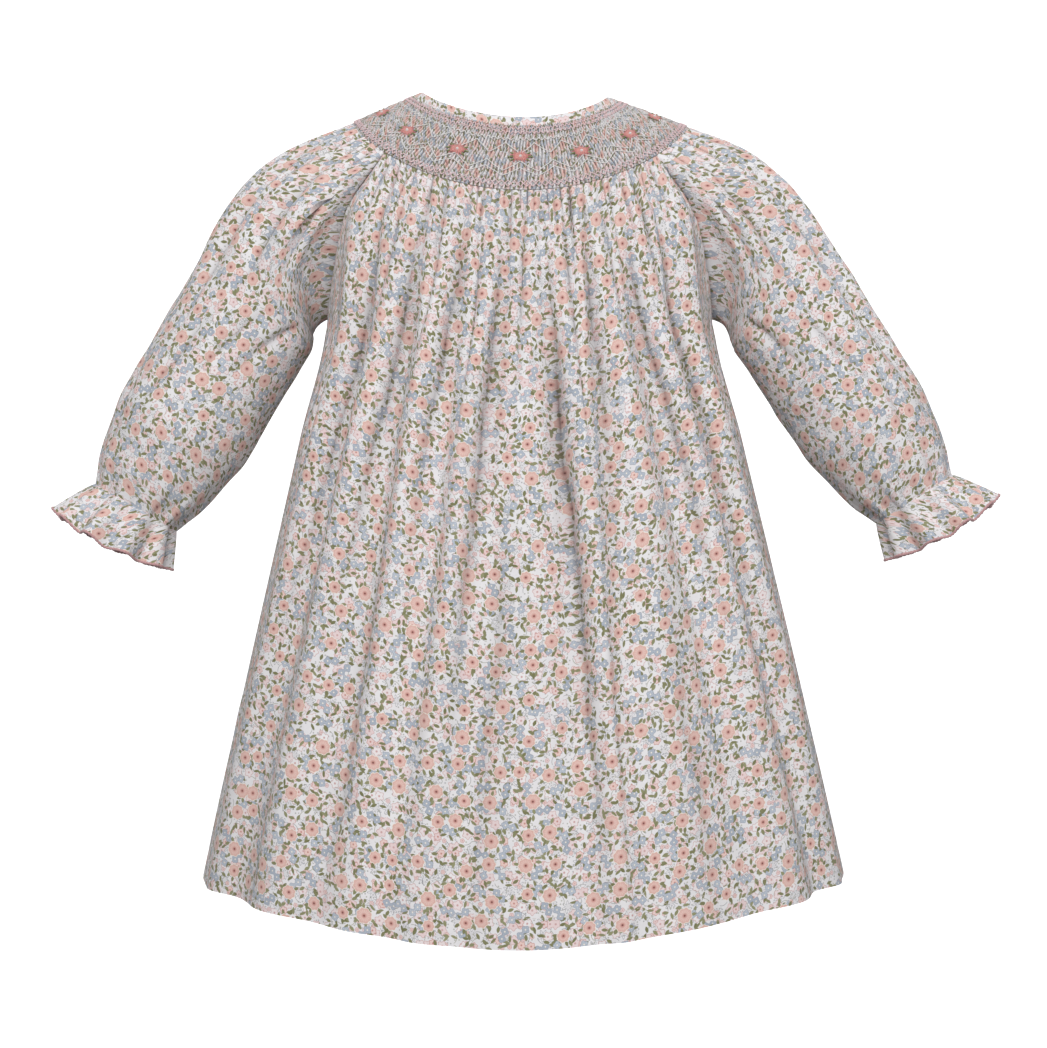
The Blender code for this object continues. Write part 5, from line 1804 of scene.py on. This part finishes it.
@dataclass
class Sleeves:
    """The two raglan sleeves and their frills."""

    finishes: Finishes
    times: int = 7
    thickness: float = 0.0006
    gather_depth: float = 0.0019
    frill_columns: int = 480
    frill_rows: int = 16
    edge: float = 0.00075

    def form(self, side: Side) -> ArmForm:
        """The sizes of one arm."""
        if side is Side.LEFT:
            return ArmForm(side, 0.1148, math.radians(33.0), 1.42, 0.96, 0.001, LEFT_SLEEVE_FOLDS)
        return ArmForm(side, 0.117, math.radians(30.3), 1.6, 1.0, -0.001, RIGHT_SLEEVE_FOLDS)

    def relief(self, side: Side, grid: Array, share: Array, rows: Array) -> tuple[Array, Array]:
        """Gathers below the yoke, creases, wrist gathers, soft waves and the seam.

        Args:
            side: The wearer's side.
            grid: The sleeve's middle surface.
            share: Shares round it from the underarm, forwards.
            rows: Shares of the rows down it.

        Returns:
            Height outwards, and the painted shade in the gathers' gaps and the creases' cores.
        """
        seed = 2.0 if side is Side.LEFT else 7.0
        below = run_along(grid, 0)
        above = below[-1:] - below
        gathered = smooth_step((0.265 - np.abs(share - 0.5)) / 0.03)
        small = gathers((share - 0.25) * 2, below, 26, self.gather_depth, 0.018, seed)
        creases, crease_shade = crease_depth(
            share, rows, LEFT_SLEEVE_CREASES if side is Side.LEFT else RIGHT_SLEEVE_CREASES
        )
        turn = share * 2 * math.pi
        cuff = np.exp(-((above / 0.020) ** 1.5))
        wrist = 0.0007 * cuff * (np.abs(np.sin(14 * turn + 1.2 * np.sin(2 * turn))) - 0.6)
        off_seam = smooth_step(below / 0.008)
        waves = 0.0006 * drift(turn * 2 + rows * 5, seed) * drift(rows * 11 - turn, seed + 1)
        seam = -0.0006 * np.exp(-((below / 0.0018) ** 2)) * (1 - gathered)
        lift = 0.0006 * np.exp(-((below / 0.006) ** 2)) * gathered
        height = small * gathered + lift - creases * off_seam + wrist + waves * off_seam + seam
        # Painted shade in the gaps between the gathers and in the creases' cores.
        gather_shade = np.clip(-small / self.gather_depth * gathered - 0.3, 0, 1) ** 1.5
        return height, np.maximum(gather_shade, crease_shade * off_seam)

    def build_side(self, side: Side) -> None:
        """Builds one sleeve, its frill, and the frill's rolled edge.

        Args:
            side: The wearer's side.
        """
        form = self.form(side)
        word = side.name.lower()
        sense = side.value
        cotton = [self.finishes.cotton, self.finishes.reverse]
        grid, share, rows = form.sleeve(self.times)
        cloth = cloth_map(grid, True, 0.5)
        cloth[..., 0] += 0.31 * sense
        normals = surface_normals(grid, True, sense)
        height, valley = self.relief(side, grid, share, rows)
        seam = np.clip(np.abs(share - 0.5) * 4 - 1, 0, 1)
        tuck, deep = armpit_tuck(grid[0], seam, run_along(grid, 0))
        grid = grid + normals * height[..., None] + tuck
        # Painted shade of the gathers, creases and the armpit's fold.
        valley = np.maximum(valley, deep)
        normals = surface_normals(grid, True, sense)
        piece = make_shell(f"sleeve_{word}_cloth", grid, normals, self.thickness, cloth, True, cotton, valley)
        settle(piece, "print_cotton", f"sleeve_{word}")
        frill, turn, down = form.frill(self.frill_columns, self.frill_rows)
        cloth = cloth_map(frill, True, 0.5, 1 + 0.3 * (1 - down))
        cloth[..., 1] += 0.27 + 0.1 * sense
        normals = surface_normals(frill, True, sense)
        piece = make_shell(f"frill_{word}_cloth", frill, normals, self.thickness, cloth, True, cotton)
        settle(piece, "print_cotton", f"frill_{word}")
        picot = 1 + 0.22 * np.cos(120 * turn)
        radius = self.edge * picot
        piece = make_threads(
            f"frill_{word}_edge", frill[-1:], normals[-1:], radius, self.finishes.edge, looped=True, flatness=1.0
        )
        settle(piece, "print_cotton")

    def build(self) -> None:
        """Builds both sides."""
        self.build_side(Side.RIGHT)
        self.build_side(Side.LEFT)


@dataclass
class BackOpening:
    """The strip over the back opening, its stitches and the three buttons."""

    finishes: Finishes
    form: YokeForm = YokeForm()
    width: float = 0.012
    thickness: float = 0.0009
    above: float = 0.0015
    end_share: float = 0.1187
    button_radius: float = 0.0052
    button_height: float = 0.0022

    def surface(self, back: Array) -> Array:
        """The strip's middle surface: the yoke and the back read off at even places across, moved out.

        Args:
            back: The back's middle surface.

        Returns:
            The grid, from the neck down.
        """
        places = np.linspace(-1, 1, 13) * self.width / 2
        phi = np.linspace(math.pi - 0.35, math.pi + 0.35, 141)
        down = np.linspace(0.075, 0.97, 20)[:, None]
        yoke = self.form.surface(phi, down)[:, ::-1]
        share = np.linspace(0, 1, back.shape[0]) ** BodyForm().row_crowding
        rows = back[(share > 0.004) & (share <= self.end_share)]
        sets = [np.stack([self.read(row, places) for row in part]) for part in (yoke, rows)]
        return np.concatenate(sets)

    def read(self, row: Array, places: Array) -> Array:
        """Points of one row of cloth at given places across."""
        order = np.argsort(row[:, 0])
        return np.stack([places] + [np.interp(places, row[order, 0], row[order, i]) for i in (1, 2)], -1)

    def build(self, back: Array) -> None:
        """Builds the strip, its two lines of stitches and the buttons.

        Args:
            back: The back's middle surface.
        """
        grid = self.surface(back)
        normals = surface_normals(grid, False)
        normals = normals * np.sign(normals[..., 1:2])
        grid = grid + normals * self.above
        cloth = cloth_map(grid, False, 0.5)
        cloth[..., 0] += 0.13
        piece = make_shell("placket_cloth", grid, normals, self.thickness, cloth, False, [self.finishes.cotton])
        settle(piece, "print_cotton", "placket")
        self.build_stitches(grid, normals)
        for number in (1, 2, 3):
            self.build_button(number, grid, normals)

    def build_stitches(self, grid: Array, normals: Array) -> None:
        """Small stitches down both edges of the strip."""
        paths, out = [], []
        for column in (1, -2):
            line = grid[:, column] + normals[:, column] * (self.thickness / 2)
            run = run_along(line, 0)
            middle = np.arange(0.0015, run[-1] - 0.001, 0.0026)
            at = middle[:, None] + np.linspace(-0.0008, 0.0008, 4)
            paths.append(np.stack([np.interp(at, run, line[:, i]) for i in range(3)], -1))
            out.append(np.stack([np.interp(at, run, normals[:, column, i]) for i in range(3)], -1))
        piece = make_threads(
            "placket_stitches", np.concatenate(paths), np.concatenate(out), 0.00013, self.finishes.sewing
        )
        settle(piece, "print_cotton")

    def build_button(self, number: int, grid: Array, normals: Array) -> None:
        """A turned button with a rolled rim and a dish, sewn on with two crossed threads.

        The profile is turned about its middle, and the button stands on the strip at its solid's place.

        Args:
            number: The button's number.
            grid: The strip's middle surface.
            normals: The strip's outward normals.
        """
        low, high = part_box(f"button_{number}")
        centre = np.array((low + high) / 2)
        row = int(np.argmin(np.abs(grid[:, 6, 2] - centre[2])))
        up = normals[row, 6]
        aside = np.array([1.0, 0.0, 0.0])
        drop = unit(np.cross(up, aside))
        base = centre - up * self.button_height / 2
        radius, height = self.button_radius, self.button_height
        share = np.array([0.0, 0.10, 0.55, 0.66, 0.74, 0.84, 0.93, 0.985, 1.0, 0.985, 0.93, 0.80, 0.40, 0.0])
        level = np.array([0.62, 0.62, 0.63, 0.70, 0.90, 1.0, 0.97, 0.82, 0.55, 0.28, 0.08, 0.0, 0.0, 0.0])
        turn = np.linspace(0, 2 * math.pi, 48, endpoint=False)
        across = (np.maximum(share, 0.004) * radius)[:, None]
        grid_points = (
            base
            + aside * (across * np.cos(turn))[..., None]
            + drop * (across * np.sin(turn))[..., None]
            + up * (level * height)[:, None, None]
        )
        ids = np.arange(grid_points.shape[0] * 48).reshape(-1, 48)
        faces = quads_of(np.concatenate([ids, ids[:, :1]], 1))
        flat = np.stack([across * np.cos(turn), across * np.sin(turn)], -1).reshape(-1, 2)
        fan = np.arange(0, 46, 2)
        ends = [np.stack([ids[k][fan * 0], ids[k][fan + 1], ids[k][fan + 2], ids[k][(fan + 3) % 48]], -1) for k in (0, -1)]
        faces = np.concatenate([faces, ends[0][:, ::-1], ends[1]])
        solid = np.cross(grid_points[5, 1] - grid_points[4, 0], grid_points[5, 0] - grid_points[4, 1])
        if np.dot(solid, up) > 0:
            faces = faces[:, ::-1]
        piece = make_piece(
            f"button_{number}_pearl", grid_points.reshape(-1, 3), faces, flat, faces, [self.finishes.pearl]
        )
        settle(piece, "pearl", f"button_{number}")
        holes = 0.0011
        bend = np.linspace(-1, 1, 7)
        paths = []
        for sign in (1, -1):
            spot = bend[:, None] * holes * (aside + drop * sign)
            paths.append(base + spot + up * (height * (0.60 + 0.26 * (1 - bend**2)))[:, None])
        paths = np.array(paths)
        piece = make_threads(
            f"button_{number}_thread", paths, np.broadcast_to(up, paths.shape), 0.00032, self.finishes.sewing
        )
        settle(piece, "print_cotton")


@dataclass
class Studio:
    """A pale room, soft lights and the camera."""

    distance: float = 1.7
    across: float = 0.00162
    level: float = -0.23058
    lens: float = 36 * 1.7 / (1047 * 0.00054)

    def build(self) -> None:
        """Builds the room, the lights and the camera."""
        self.build_room()
        self.build_light("key", (-0.25, -2.4, 1.0), 1.3, 62)
        self.build_light("fill", (1.6, -1.7, 0.1), 1.6, 9)
        self.build_light("top", (0.0, 0.1, 1.6), 1.4, 7)
        world = bpy.data.worlds.new("studio")
        world.use_nodes = True
        world.node_tree.nodes["Background"].inputs["Color"].default_value = (1, 1, 1, 1)
        world.node_tree.nodes["Background"].inputs["Strength"].default_value = 0.22
        bpy.context.scene.world = world
        bpy.context.scene.view_settings.view_transform = "Standard"
        camera = bpy.data.cameras.new("camera")
        camera.sensor_width = 36
        camera.lens = self.lens
        eye = bpy.data.objects.new("camera", camera)
        eye.location = (self.across, -self.distance, self.level)
        eye.rotation_euler = (math.pi / 2, 0, 0)
        bpy.context.scene.collection.objects.link(eye)
        bpy.context.scene.camera = eye

    def build_light(self, name: str, place: tuple, size: float, power: float) -> None:
        """A square soft light that faces the dress.

        Args:
            name: Its name.
            place: Where it hangs.
            size: Its width.
            power: Its power in watts.
        """
        data = bpy.data.lights.new(name, "AREA")
        data.size = size
        data.energy = power
        light = bpy.data.objects.new(name, data)
        light.location = place
        aim = Vector((0, 0, -0.22)) - Vector(place)
        light.rotation_mode = "QUATERNION"
        light.rotation_quaternion = aim.to_track_quat("-Z", "Y")
        bpy.context.scene.collection.objects.link(light)

    def build_room(self) -> None:
        """Pale floor and wall in one sweep: a profile of a straight, a quarter round and a straight."""
        material = bpy.data.materials.new("pale_sweep")
        material.use_nodes = True
        shader = material.node_tree.nodes["Principled BSDF"]
        shader.inputs["Base Color"].default_value = (0.93, 0.93, 0.93, 1)
        shader.inputs["Roughness"].default_value = 0.9
        shader.inputs["Emission Color"].default_value = (1, 1, 1, 1)
        shader.inputs["Emission Strength"].default_value = 0.8
        bend = np.linspace(0, math.pi / 2, 13)
        floor, wall, bow = -0.75, 2.2, 0.9
        profile = np.concatenate(
            [
                [[-6.0, floor]],
                np.stack([wall - bow + bow * np.sin(bend), floor + bow - bow * np.cos(bend)], -1),
                [[wall, 4.5]],
            ]
        )
        across = np.array([-7.0, 7.0])
        grid = np.stack(
            [
                np.broadcast_to(across, (len(profile), 2)),
                np.broadcast_to(profile[:, :1], (len(profile), 2)),
                np.broadcast_to(profile[:, 1:], (len(profile), 2)),
            ],
            -1,
        )
        faces = quads_of(np.arange(len(profile) * 2).reshape(-1, 2))
        room = make_piece("sweep", grid.reshape(-1, 3), faces, grid[..., :2].reshape(-1, 2), faces, [material])
        room.visible_diffuse = False


def main() -> None:
    """Builds the dress from the neck down, and then the studio."""
    logging.basicConfig(level=logging.INFO, format="%(message)s")
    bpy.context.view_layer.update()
    finishes = Finishes()
    SmockedYoke(finishes).build()
    NeckBinding(finishes).build()
    back, _ = BodyPanels(finishes).build()
    Sleeves(finishes).build()
    BackOpening(finishes).build(back)
    Studio().build()


if __name__ == "__main__":
    main()
